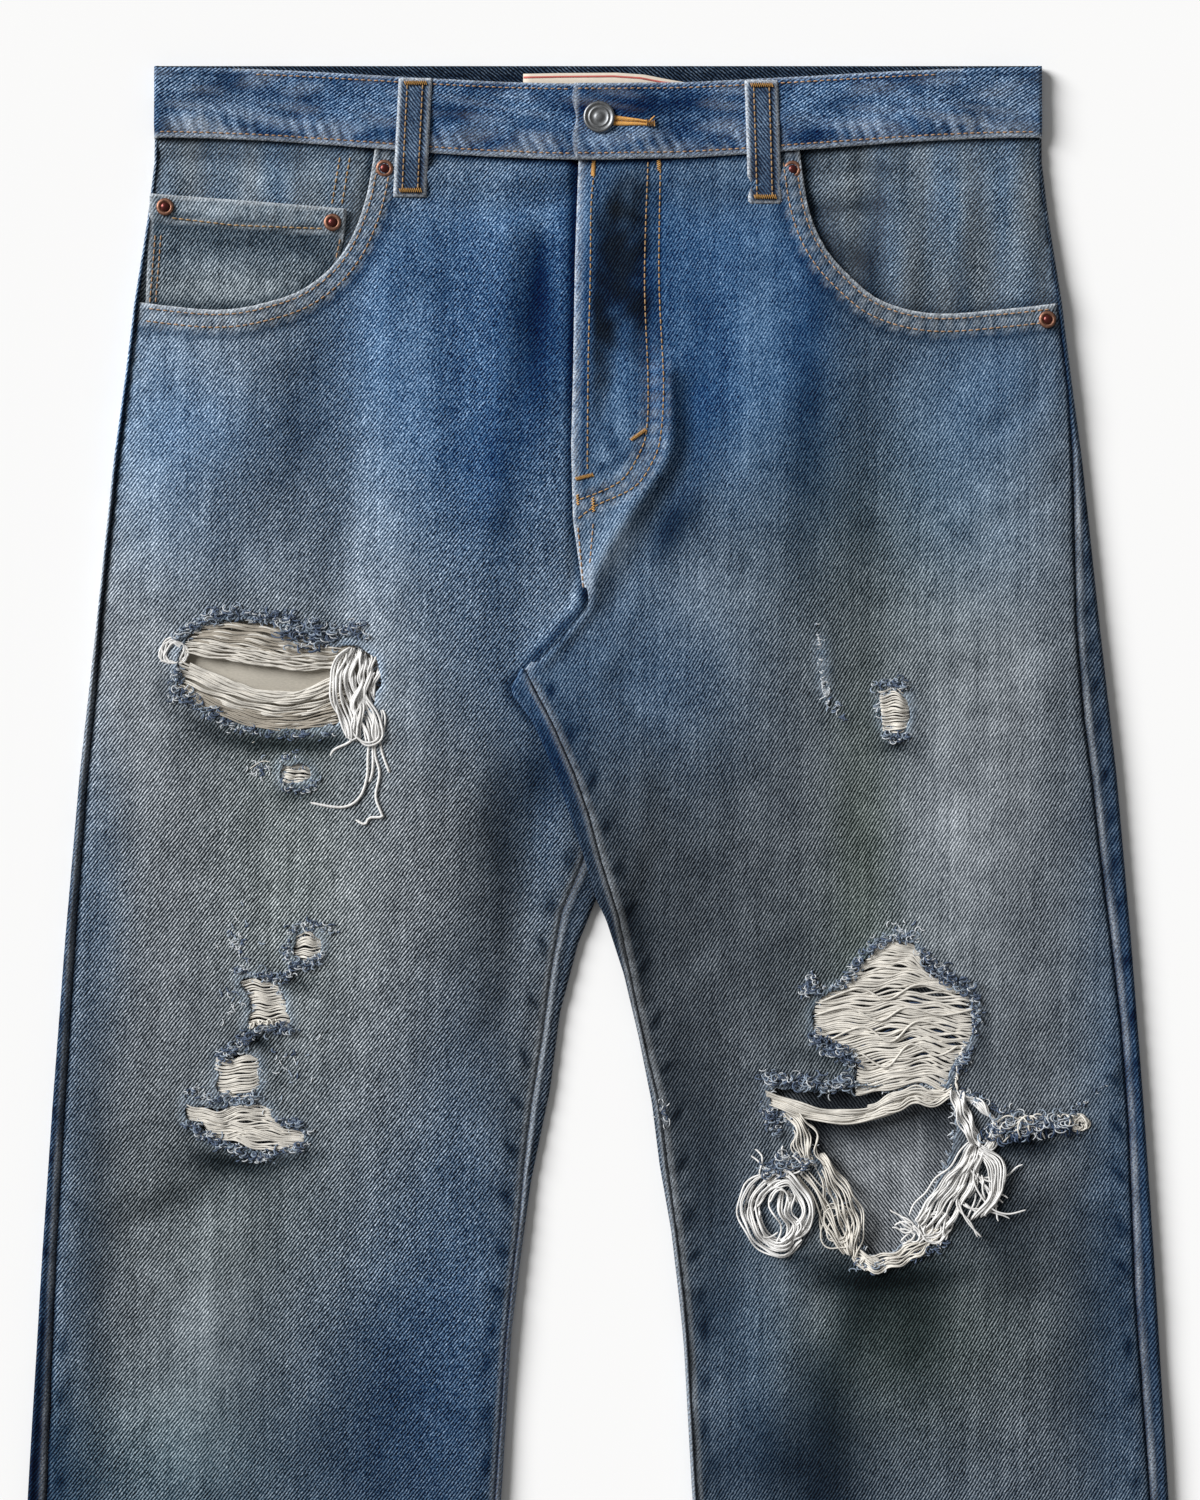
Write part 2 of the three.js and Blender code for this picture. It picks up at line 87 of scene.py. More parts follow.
inseam = {
    -1: [(38, 6), (257, 6), (300, -2), (322, -17), (350, -5), (380, -1), (400, -3.5),
         (416, -8.5), (440, -18.7), (469, -24), (506, -29), (540, -34.6), (572, -38.5),
         (606, -41.5), (640, -45.5), (665, -48), (745, -53.4), (1080, -84.2)],
    1: [(38, -10), (102, -12), (160, -13), (199, -14), (237, -13), (276, -7.5), (281, -8),
        (293, -19), (314, -38), (342, -23.5), (369, -11.7), (390, -4.4), (412, 1.3),
        (442, 10.7), (473, 17.2), (506, 24), (540, 32.4), (572, 36.4), (606, 41), (640, 45),
        (665, 47), (745, 51.5), (1080, 84.2)],
}
backRise = [(38, 0), (250, 0), (322, -12)]
frontLevel = [(0, 6.2), (345, 6.2), (420, 5.3)]  # top of the cloth on the fronts


def read(table, down):
    return np.interp(down, [pair[0] for pair in table], [pair[1] for pair in table])


def soft(value):
    value = np.clip(value, 0, 1)
    return value * value * (3 - 2 * value)


# Bell curve: 1 where the distance is 0, and near 0 past twice the width
def bell(distance, width):
    return np.exp(-((distance / width) ** 2))


def sideSeam(side, down):  # x of the outer seam on the front
    return side * (read(outerEdge, down) - read(sideStrip[side], down))


def belowCrotch(down):  # 0 on the seat, 1 on the legs
    return soft((down - garment["flapDown"]) / 10)


def waistBell(x):
    return 0.5 + 0.5 * np.cos(np.pi * np.clip(x / garment["waistHalf"], -1, 1))


def frontTop(x):
    return 1.5 + (garment["frontDip"] - 1.5) * waistBell(x)


def bandBottom(x):
    return garment["bandHeight"] + (garment["frontDip"] + 1.5) * waistBell(x)


def yokeLine(x):
    return 112 - 36 * np.abs(x) / garment["waistHalf"]


# Distance in mm from points to a line of (x, down) points, and how far along it they are
def lineDistance(x, down, line):
    best = np.full(np.shape(x), 1e9)
    along = np.zeros(np.shape(x))
    run = 0.0
    for (x0, d0), (x1, d1) in zip(line, line[1:]):
        length = math.hypot(x1 - x0, d1 - d0)
        share = np.clip(((x - x0) * (x1 - x0) + (down - d0) * (d1 - d0)) / length**2, 0, 1)
        gap = np.hypot(x - x0 - share * (x1 - x0), down - d0 - share * (d1 - d0))
        closer = gap < best
        best = np.where(closer, gap, best)
        along = np.where(closer, run + share * length, along)
        run += length
    return best, along


# How far along a line each of its points is
def lineStops(line):
    stops = [0.0]
    for (x0, d0), (x1, d1) in zip(line, line[1:]):
        stops.append(stops[-1] + math.hypot(x1 - x0, d1 - d0))
    return stops


# The place that is a given run along a line
def placeOn(line, stops, run):
    return np.interp(run, stops, [px for px, pd in line]), np.interp(run, stops, [pd for px, pd in line])


# Smooth line through a few given (x, down) points
def smoothLine(points, steps=8):
    ends = [points[0]] + list(points) + [points[-1]]
    line = []
    for p0, p1, p2, p3 in zip(ends, ends[1:], ends[2:], ends[3:]):
        for step in range(steps):
            t = step / steps
            line.append(tuple(
                0.5 * (2 * b + (c - a) * t + (2 * a - 5 * b + 4 * c - d) * t**2
                       + (3 * b - a - 3 * c + d) * t**3)
                for a, b, c, d in zip(p0, p1, p2, p3)))
    return line + [tuple(points[-1])]


def wander(x, down, size, seed):  # smooth wandering value between about -1 and 1
    turn = seed * 1.7
    return (np.sin(x / size + turn + 1.3 * np.sin(down / size * 0.7 + turn * 2.1))
            * np.cos(down / size * 1.1 - turn + 0.9 * np.sin(x / size * 0.8 - turn)))


# Seams and edges that several pieces share
scoopRows = (2.6, 9.2)  # the two rows of stitches, in mm from the pocket opening
scoopLine = {
    -1: smoothLine([(-115, 38), (-121, 71), (-132, 97), (-149, 114), (-170, 123), (-200, 127.5),
                    (-250, 122)]),
    1: smoothLine([(104, 38), (109, 73), (118, 95), (133, 112), (149, 123.5), (175, 129.5),
                   (213, 127), (254, 122)]),
}
flyEdge = [(-10.5, 48), (-12, 102), (-13, 160), (-14, 199), (-13, 237), (-7.5, 276)]
flapFold = smoothLine([(-4, 262), (-7.5, 281), (-19, 293), (-38, 314), (-45.8, 325.5), (-33.8, 342)])
flyStitch = [
    smoothLine([(26, 50), (24.2, 111), (26, 163), (25.4, 188), (22, 201), (11, 217), (-12, 227)]),
    smoothLine([(32.5, 50), (31.7, 111), (34, 163), (32.8, 191), (29, 205), (19, 219.5),
                (-1.5, 229.5), (-12.6, 238)]),
]
coveredEdge = inseam[-1][:3] + innerEdge[-1]


# How far the left front rises where it lies over the right front and the right leg
def lift(x, down):
    most = np.interp(down, [300, garment["flapDown"]], [1.3, 2.6])
    return most * soft(1 - (x - read(coveredEdge, down) - 8) / 18)


# Folds of the laid cloth: line, half width, height above the panel (below it when negative)
folds = [
    ([(9, 62), (9, 146)], 9, -0.9), ([(-28, 84), (-30, 150)], 8, -1.8), ([(-47, 92), (-52, 235)], 8, 1.2),
    ([(-74, 82), (-72, 240)], 11, -1.0), ([(-108, 110), (-112, 330)], 16, 1.4),
    ([(-150, 145), (-165, 235)], 18, -1.2), ([(-200, 140), (-215, 260)], 26, 0.9),
    ([(-244, 150), (-228, 168), (-205, 178)], 5, -1.0), ([(-250, 176), (-226, 190)], 5, -0.9),
    (smoothLine([(35, 160), (37.5, 197), (26, 220), (9, 243), (-3, 266), (-12, 288), (-30, 308)]), 5.5, 3.0),
    (smoothLine([(48, 170), (46, 208), (32, 232), (20, 256), (8, 282)]), 8, -2.6),
    ([(-100, 55), (-60, 61), (-16, 58)], 4.5, 1.1), ([(-92, 66), (-52, 76), (-20, 73)], 5, -1.0),
    ([(-84, 80), (-50, 88)], 5, 0.7), ([(38, 57), (70, 64), (98, 60)], 5, 1.1),
    ([(36, 71), (64, 79)], 5, -0.9), ([(-2, 62), (12, 74), (22, 96)], 4, 0.9),
    ([(74, 100), (76, 235)], 12, 1.2), ([(108, 130), (112, 250)], 13, -1.2),
    ([(146, 170), (140, 440)], 14, -1.2), ([(184, 240), (182, 446)], 20, 1.4),
    ([(236, 150), (226, 176), (206, 190)], 6, -0.9), ([(246, 205), (232, 228), (205, 240)], 6, -0.8),
    ([(222, 300), (226, 430)], 10, -0.9), ([(-24, 345), (-36, 420), (-52, 500)], 10, -1.5),
    ([(-70, 330), (-86, 520)], 14, -0.8), ([(-150, 355), (-146, 440)], 16, 1.0),
    ([(-192, 350), (-205, 440)], 12, -0.8), ([(-240, 602), (-212, 590), (-190, 575)], 8, -1.4),
    ([(-196, 610), (-208, 720)], 18, 1.4), ([(-228, 500), (-200, 520)], 7, -0.8),
    ([(-130, 580), (-118, 700)], 18, -0.8), ([(28, 484), (62, 504), (92, 526)], 7, -1.4),
    ([(60, 470), (90, 492)], 8, 1.0), ([(58, 560), (64, 700)], 12, 1.2),
    ([(126, 628), (108, 690), (104, 760)], 12, -1.8), ([(150, 632), (184, 652), (226, 640)], 10, -1.4),
    ([(205, 610), (240, 596), (262, 574)], 8, -1.4), ([(212, 540), (250, 536), (276, 520)], 7, 1.2),
    ([(180, 650), (186, 760)], 22, 1.1), ([(40, 380), (58, 450)], 14, -1.0),
    ([(-62, 640), (-70, 800)], 14, 0.8), ([(-230, 760), (-238, 1040)], 26, 1.2),
    ([(-130, 800), (-140, 1040)], 24, -1.2), ([(150, 800), (165, 1040)], 24, 1.2),
    ([(250, 780), (262, 1040)], 20, -1.1), ([(95, 820), (120, 1000)], 18, -1.2),
]


def foldHeight(x, down):
    height = np.zeros(np.shape(x))
    for line, width, amount in folds:
        height += amount * bell(lineDistance(x, down, line)[0], width)
    return height + 0.35 * wander(x, down, 23, 1) + 0.18 * wander(x, down, 9, 2)


# Small puckers along a seam, and the dark spots that wear leaves between them
def puckers(along, distance, reach, period=11.0):
    wave = np.sin(2 * np.pi * along / period + 0.9 * np.sin(along / 31.0))
    return wave * bell(distance, reach)


def seamSpots(along, distance, reach, period=24.0):
    slanted = along + 0.9 * distance + 2.4 * np.sin(along / 17.0) + 1.2 * np.sin(along / 7.0)
    wave = 0.5 + 0.5 * np.cos(2 * np.pi * slanted / period + 1.4 * np.sin(along / 53.0))
    small = 0.5 + 0.5 * np.cos(2 * np.pi * slanted / (period * 0.37) + 2.0)
    return (wave**5 + 0.4 * small**3) * bell(distance, reach)


# Height of the top of the cloth, in mm, anywhere on a front
def frontHeight(side, x, down):
    inner = read(inseam[side], down)
    outer = sideSeam(side, down)
    across = np.clip((x - inner) / (outer - inner), 0, 1)
    height = read(frontLevel, down) + 1.1 * (1 - (2 * across - 1) ** 4)
    height = height + foldHeight(x, down) * soft(np.minimum(across, 1 - across) / 0.03)
    if side > 0:
        height = height + lift(x, down)
        for line in flyStitch:
            distance, along = lineDistance(x, down, line)
            height = height - 0.5 * bell(distance, 1.3)
            height = height + 0.35 * puckers(along, distance, 4, 9)
    else:  # its hidden edge lies lower, under the fly
        height = height - 1.8 * soft((x + 17) / 6) * soft((285 - down) / 20)
    height = height - 0.9 * soft(1 - (down - bandBottom(x) - 2) / 7)
    outDistance = np.abs(x - outer)
    inDistance = np.abs(x - inner)
    height = height - 1.1 * bell(outDistance, 2.2)
    height = height + 0.35 * puckers(down, outDistance - 3, 6)
    legPart = belowCrotch(down)
    height = height + 0.4 * puckers(down + 4, inDistance - 3, 6) * legPart
    height = height + (0.9 if side > 0 else -1.0) * bell(inDistance, 2.2) * legPart
    scoopGap, scoopAlong = lineDistance(x, down, scoopLine[side])
    height = height + 0.9 * soft(1 - (scoopGap - 9) / 3) + 0.35 * puckers(scoopAlong, scoopGap, 9, 7)
    for offset in scoopRows:
        height = height - 0.4 * bell(scoopGap - offset, 0.9)
    return height


# Fading, and in a few spots painted shadow: x, down, reach across, reach down, amount, and any turn in
# degrees
toneSpots = [
    (8, 198, 4, 3, -34, -20), (2, 203, 4, 3, 26), (13, 204, 4, 3, -36, -30), (18, 208, 4, 3, 26, -30),
    (23, 203, 3, 3, -28), (2, 210, 5, 2.5, -36, -15), (-3, 216, 4, 2.5, 24),
    (10, 213, 4, 2.5, 26, -30), (16, 217, 4, 2.5, -26, -40), (0, 222, 5, 2.5, -26, -15),
    (8, 174, 5, 8, 16), (14, 186, 5, 5, 14), (4, 190, 4, 4, -14), (-30, 108, 5, 20, -26),
    (-20, 104, 5, 24, 8), (-81, 120, 6, 24, -12), (-51, 330, 13, 210, -12),
    (-74, 440, 20, 230, -8), (-30, 80, 10, 9, 36), (-9, 76, 5, 14, 36), (-9, 266, 8, 18, 24),
    (34, 250, 8, 16, -22, 35), (20, 470, 12, 30, -20), (40, 530, 12, 44, -16),
    (55, 600, 13, 90, -10), (95, 320, 12, 170, -8), (-262, 620, 12, 160, -20),
    (-130, 725, 36, 30, -10), (-205, 405, 50, 60, -15), (-112, 660, 36, 70, -15),
    (112, 715, 50, 50, -13), (-262, 500, 20, 120, -8), (-50, 500, 16, 80, -10),
    (11, 390, 9, 40, -12), (4, 258, 7, 9, 22), (32, 100, 8, 40, -16), (116, 125, 10, 20, -18),
    (-240, 740, 60, 24, -14), (30, 450, 40, 40, -7), (-176, 318, 8, 26, -30),
    (-30, 600, 12, 34, -16), (-9, 182, 5, 10, 14), (219, 620, 14, 44, -18),
    (244, 680, 16, 70, -14), (240, 350, 12, 60, -14), (116, 642, 9, 12, 26),
    (157, 650, 30, 40, -8), (-245, 215, 42, 190, 44), (-195, 150, 26, 60, 22),
    (-155, 185, 20, 48, -20, 6), (-113, 190, 15, 90, 24), (-113, 300, 24, 75, 46),
    (-32, 140, 13, 50, -42), (-51, 220, 12, 50, -16), (-51, 385, 12, 34, -18),
    (-8, 390, 9, 50, -16), (12, 448, 12, 16, -26, 20), (40, 236, 10, 18, -34, 35),
    (12, 250, 9, 14, 34, 35), (52, 185, 14, 34, -22), (75, 290, 12, 16, -16),
    (-172, 268, 16, 30, 30), (-166, 142, 14, 10, 16), (62, 735, 14, 24, -30),
    (90, 720, 14, 30, -34), (55, 650, 12, 20, -24), (168, 650, 14, 36, -26),
    (-155, 500, 8, 14, 26), (116, 655, 10, 12, 30), (-92, 200, 9, 110, 16),
    (-72, 185, 12, 75, -4), (-51, 75, 12, 26, 24), (-150, 420, 52, 72, 30),
    # the spot at (-26, 366) beside the flap: partly darker dye, partly painted shade from the flap
    (-235, 400, 42, 120, 14), (-60, 320, 30, 50, 12), (-26, 366, 13, 26, -34, 10),
    (-118, 490, 34, 70, 12), (-205, 660, 24, 80, 30, 6), (-218, 588, 36, 11, -24, -18),
    (-95, 740, 60, 110, -22), (-240, 690, 26, 70, 8), (-290, 740, 16, 70, -30),
    (-140, 610, 22, 60, 14, 4), (-190, 460, 22, 50, 6), (-60, 440, 22, 70, -12, 12),
    (10, 232, 16, 26, 24), (60, 160, 18, 70, -6), (84, 160, 14, 100, 22),
    (110, 190, 10, 80, -26), (134, 195, 18, 95, -18), (205, 300, 44, 120, 38),
    (205, 170, 40, 40, 4), (184, 420, 26, 80, 38), (60, 285, 34, 26, 30),
    (34, 400, 48, 95, -14), (142, 400, 16, 60, -4), (78, 470, 40, 60, -10),
    (56, 570, 16, 55, -26, -6), (245, 480, 30, 70, 6), (136, 648, 26, 28, -30),
    (212, 604, 46, 26, -20, -14), (60, 715, 12, 60, 6, -4), (96, 680, 12, 60, 20),
    (118, 730, 20, 70, -44), (185, 720, 40, 60, -8), (262, 660, 18, 90, -20),
    (96, 610, 14, 26, 20), (-20, 285, 8, 26, 18, 40), (30, 335, 26, 26, 12),
    # from (-170, 352) to (156, 354): painted shadow just below the rims of the rips
    (235, 560, 22, 24, 16), (-170, 352, 32, 6, -34), (-215, 342, 12, 14, -16),
    (-156, 477, 11, 5, -52, 30), (-176, 508, 8, 4, -56, 30), (-190, 571, 24, 6, -40),
    (-212, 553, 6, 5, -40), (228, 563, 26, 7, -40, -4), (130, 632, 34, 6, -30),
    (156, 354, 9, 4, -30), (-130, 850, 90, 60, -14), (-230, 900, 40, 120, 18),
    (-140, 980, 120, 70, -10), (150, 850, 90, 60, -14), (170, 930, 50, 110, 16),
    (160, 1010, 120, 60, -12),
]
blueSpots = [
    (0, 120, 130, 90, 1.0), (-70, 215, 70, 80, 0.5), (60, 215, 60, 60, 0.4),
    (-100, 120, 40, 60, 0.25), (95, 120, 26, 60, 0.3), (-225, 110, 60, 70, 0.25),
    (-195, 190, 40, 30, 0.3), (215, 160, 40, 50, 0.4), (-30, 320, 70, 50, 0.3),
    (40, 320, 50, 60, 0.25), (-26, 400, 20, 60, 0.3), (-70, 560, 30, 90, 0.2),
    (-80, 680, 70, 110, 0.5), (-285, 600, 22, 220, 0.3), (-240, 740, 80, 50, 0.2),
    (-260, 430, 16, 80, 0.25), (76, 670, 30, 80, 0.3), (275, 560, 24, 260, 0.35),
    (-130, 900, 160, 160, 0.3), (170, 900, 160, 160, 0.3), (-238, 190, 34, 60, 0.38),
    (-200, 245, 50, 40, 0.22), (178, 205, 36, 66, 0.28), (214, 246, 40, 44, 0.16),
    (-10, 170, 40, 50, -0.26), (53, 225, 34, 50, -0.22),
]
greenSpots = [
    (137, 400, 16, 80, 0.5), (-190, 600, 60, 60, 0.3), (-165, 340, 40, 40, 0.3),
    (-160, 430, 40, 90, 0.4), (170, 660, 60, 40, 0.35), (140, 480, 40, 60, 0.3),
    (150, 250, 60, 80, 0.3), (150, 664, 60, 60, 0.3), (137, 390, 20, 80, 0.2),
    (-224, 724, 60, 50, 0.5),
]
# How strongly the weave shows, about a middle of 0.5
weaveSpots = [
    (-100, 650, 46, 120, 0.32), (-200, 690, 40, 80, -0.26), (-190, 420, 60, 60, 0.16),
    (205, 690, 60, 60, 0.14), (-72, 250, 50, 60, 0.14), (-90, 420, 40, 60, 0.1),
]


def paint(x, down, spots, base):
    value = np.full(np.shape(x), float(base))
    for cx, cd, rx, rd, amount, *turn in spots:
        angle = math.radians(turn[0]) if turn else 0.0
        c, s = math.cos(angle), math.sin(angle)
        a = ((x - cx) * c + (down - cd) * s) / rx
        b = ((down - cd) * c - (x - cx) * s) / rd
        value += amount * np.exp(-(a * a + b * b))
    return value


# The placket is nearly unfaded between its edge stitch and the curved stitches
def unfaded(x, down):
    lower = 134 + 4 * np.sin(x / 2.7) + 32 * soft((14 - x) / 20)
    patch = soft((x + 6) / 6) * soft((33 - x + 2 * wander(x, down, 6, 17)) / 14)
    patch = patch * soft((down - 46 - 16 * soft((12 - x) / 12)) / 34) * soft((lower - down) / 50 + 0.7)
    return np.clip(patch * (1 + 0.22 * wander(x, down, 4, 13) + 0.26 * wander(x, down * 0.5, 5, 14)), 0, 1.1)


def frontTone(x, down):
    tone = paint(x, down, toneSpots, 84) / 255
    tone = tone - 0.24 * unfaded(x, down)
    return np.clip(tone + 0.012 * wander(x, down, 17, 5) + 0.01 * wander(x, down, 6, 6), 0.1, 0.75)


# Colour attributes: the first holds tone (fading, with painted shadow in a few spots), blue and green; the
# second holds pale wear, darkening (painted shade, and dark seam spots) and weave
def setDyeWearShade(mesh, tone, blue, green, worn, dark, weave=0.5):
    count = len(mesh.vertices)
    for name, parts in (("dye", (tone, blue, green)), ("wear", (worn, dark, weave))):
        values = np.ones((count, 4), dtype=np.float32)
        for index, part in enumerate(parts):
            values[:, index] = np.clip(part, 0, 1)
        layer = mesh.color_attributes.new(name, "FLOAT_COLOR", "POINT")
        layer.data.foreach_set("color", values.ravel())


# Mesh helpers
def rawPlaces(mesh):
    flat = np.empty(len(mesh.vertices) * 3)
    mesh.vertices.foreach_get("co", flat)
    return flat.reshape(-1, 3)


def gridMesh(name, columns, rows, shape):
    bm = bmesh.new()
    bmesh.ops.create_grid(bm, x_segments=columns, y_segments=rows, size=0.5)
    mesh = bpy.data.meshes.new(name)
    bm.to_mesh(mesh)
    bm.free()
    flat = rawPlaces(mesh)
    x, down, height = shape(flat[:, 0] + 0.5, 0.5 - flat[:, 1])
    setPlaces(mesh, x, down, height)
    return mesh


def setPlaces(mesh, x, down, height):
    places = np.stack([x * mm, waistY - down * mm, height * mm], axis=1)
    mesh.vertices.foreach_set("co", places.ravel())
    mesh.update()


def getPlaces(mesh):
    flat = rawPlaces(mesh)
    return flat[:, 0] / mm, (waistY - flat[:, 1]) / mm, flat[:, 2] / mm


def pieceName(first, node):
    return first + "".join(word.capitalize() for word in node.split("_"))


def addPiece(name, mesh, materials, nodes, thickness=None, smooth=True):
    piece = bpy.data.objects.new(name, mesh)
    bpy.context.scene.collection.objects.link(piece)
    for material in materials:
        mesh.materials.append(material)
    if smooth:
        mesh.polygons.foreach_set("use_smooth", [True] * len(mesh.polygons))
    if thickness:
        wall = piece.modifiers.new("wall", "SOLIDIFY")
        wall.thickness = thickness * mm
        wall.offset = -1
        if len(materials) > 1:
            wall.material_offset = 1
    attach(piece, "root")
    if nodes:
        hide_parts(*nodes)
    return piece


# Is each point inside a closed outline of (x, down) points?
def insideOutline(x, down, outline):
    inside = np.zeros(np.shape(x), dtype=bool)
    for (x0, d0), (x1, d1) in zip(outline, outline[1:] + outline[:1]):
        crosses = (d0 > down) != (d1 > down)
        inside ^= crosses & (x < (x1 - x0) * (down - d0) / (d1 - d0 + 1e-9) + x0)
    return inside


def nearestOn(outline, x, down):
    best = np.full(np.shape(x), 1e9)
    nearX, nearDown = np.array(x), np.array(down)
    for (x0, d0), (x1, d1) in zip(outline, outline[1:] + outline[:1]):
        length = max((x1 - x0) ** 2 + (d1 - d0) ** 2, 1e-9)
        share = np.clip(((x - x0) * (x1 - x0) + (down - d0) * (d1 - d0)) / length, 0, 1)
        px, pd = x0 + share * (x1 - x0), d0 + share * (d1 - d0)
        gap = np.hypot(x - px, down - pd)
        closer = gap < best
        best = np.where(closer, gap, best)
        nearX, nearDown = np.where(closer, px, nearX), np.where(closer, pd, nearDown)
    return nearX, nearDown, best


# Cut an outline out of a grid: faces inside go, and the last points move onto the outline
def cutOut(mesh, outline):
    x, down, height = getPlaces(mesh)
    inside = insideOutline(x, down, outline)
    bm = bmesh.new()
    bm.from_mesh(mesh)
    bm.verts.ensure_lookup_table()
    gone = [face for face in bm.faces if all(inside[v.index] for v in face.verts)]
    bmesh.ops.delete(bm, geom=gone, context="FACES")
    loose = [vert for vert in bm.verts if not vert.link_faces]
    bmesh.ops.delete(bm, geom=loose, context="VERTS")
    bm.to_mesh(mesh)
    bm.free()
    x, down, height = getPlaces(mesh)
    inside = insideOutline(x, down, outline)
    nearX, nearDown, gap = nearestOn(outline, x, down)
    setPlaces(mesh, np.where(inside, nearX, x), np.where(inside, nearDown, down), height)


# A torn outline: the drawn one with more points, each moved a little in or out
def ragged(outline, step=2.4, amount=1.0, seed=0):
    toss = random.Random(seed)
    made = []
    for (x0, d0), (x1, d1) in zip(outline, outline[1:] + outline[:1]):
        length = math.hypot(x1 - x0, d1 - d0)
        count = max(1, round(length / step))
        for index in range(count):
            share = index / count
            shift = toss.uniform(-amount, amount)
            made.append((x0 + share * (x1 - x0) + shift * (d1 - d0) / length,
                         d0 + share * (d1 - d0) - shift * (x1 - x0) / length))
    return made


print("materials")


def makeNode(tree, kind, inputs=None, **settings):
    node = tree.nodes.new(kind)
    for key, value in settings.items():
        setattr(node, key, value)
    for key, value in (inputs or {}).items():
        if isinstance(value, bpy.types.NodeSocket):
            tree.links.new(value, node.inputs[key])
        else:
            node.inputs[key].default_value = value
    return node


def calc(tree, kind, first, second=0.0, third=None):
    inputs = {0: first, 1: second}
    if third is not None:
        inputs[2] = third
    return makeNode(tree, "ShaderNodeMath", inputs, operation=kind).outputs[0]


def newMaterial(name):
    material = bpy.data.materials.new(name)
    material.use_nodes = True
    tree = material.node_tree
    tree.nodes.clear()
    output = tree.nodes.new("ShaderNodeOutputMaterial")
    shader = tree.nodes.new("ShaderNodeBsdfPrincipled")
    tree.links.new(shader.outputs[0], output.inputs[0])
    return material, tree, shader


def noiseOf(tree, vector, scale, detail=2.0, rough=0.5, stretch=(1, 1, 1), turn=0.0):
    mapped = makeNode(tree, "ShaderNodeMapping",
                      {"Vector": vector, "Scale": stretch, "Rotation": (0, 0, turn)})
    return makeNode(tree, "ShaderNodeTexNoise",
                    {"Vector": mapped.outputs[0], "Scale": scale, "Detail": detail,
                     "Roughness": rough}).outputs[0]


denim = {
    "pitch": 1.5,  # mm between two twill lines
    "lines": 0.30,
    "grain": 0.74,
    "slub": 0.5,
    "streak": 0.34,
    "cloud": 0.68,
    "redLoss": 0.125,  # how far indigo lowers red, and raises blue
    "blueGain": 0.145,
    "wornColor": (0.66, 0.70, 0.74),
    "roughness": 0.93,
    "shine": 0.12,
    "bend": 0.0011,  # how far the twill lines wander, in metres
    "relief": 0.0002,  # height of the weave in the light, in metres
}
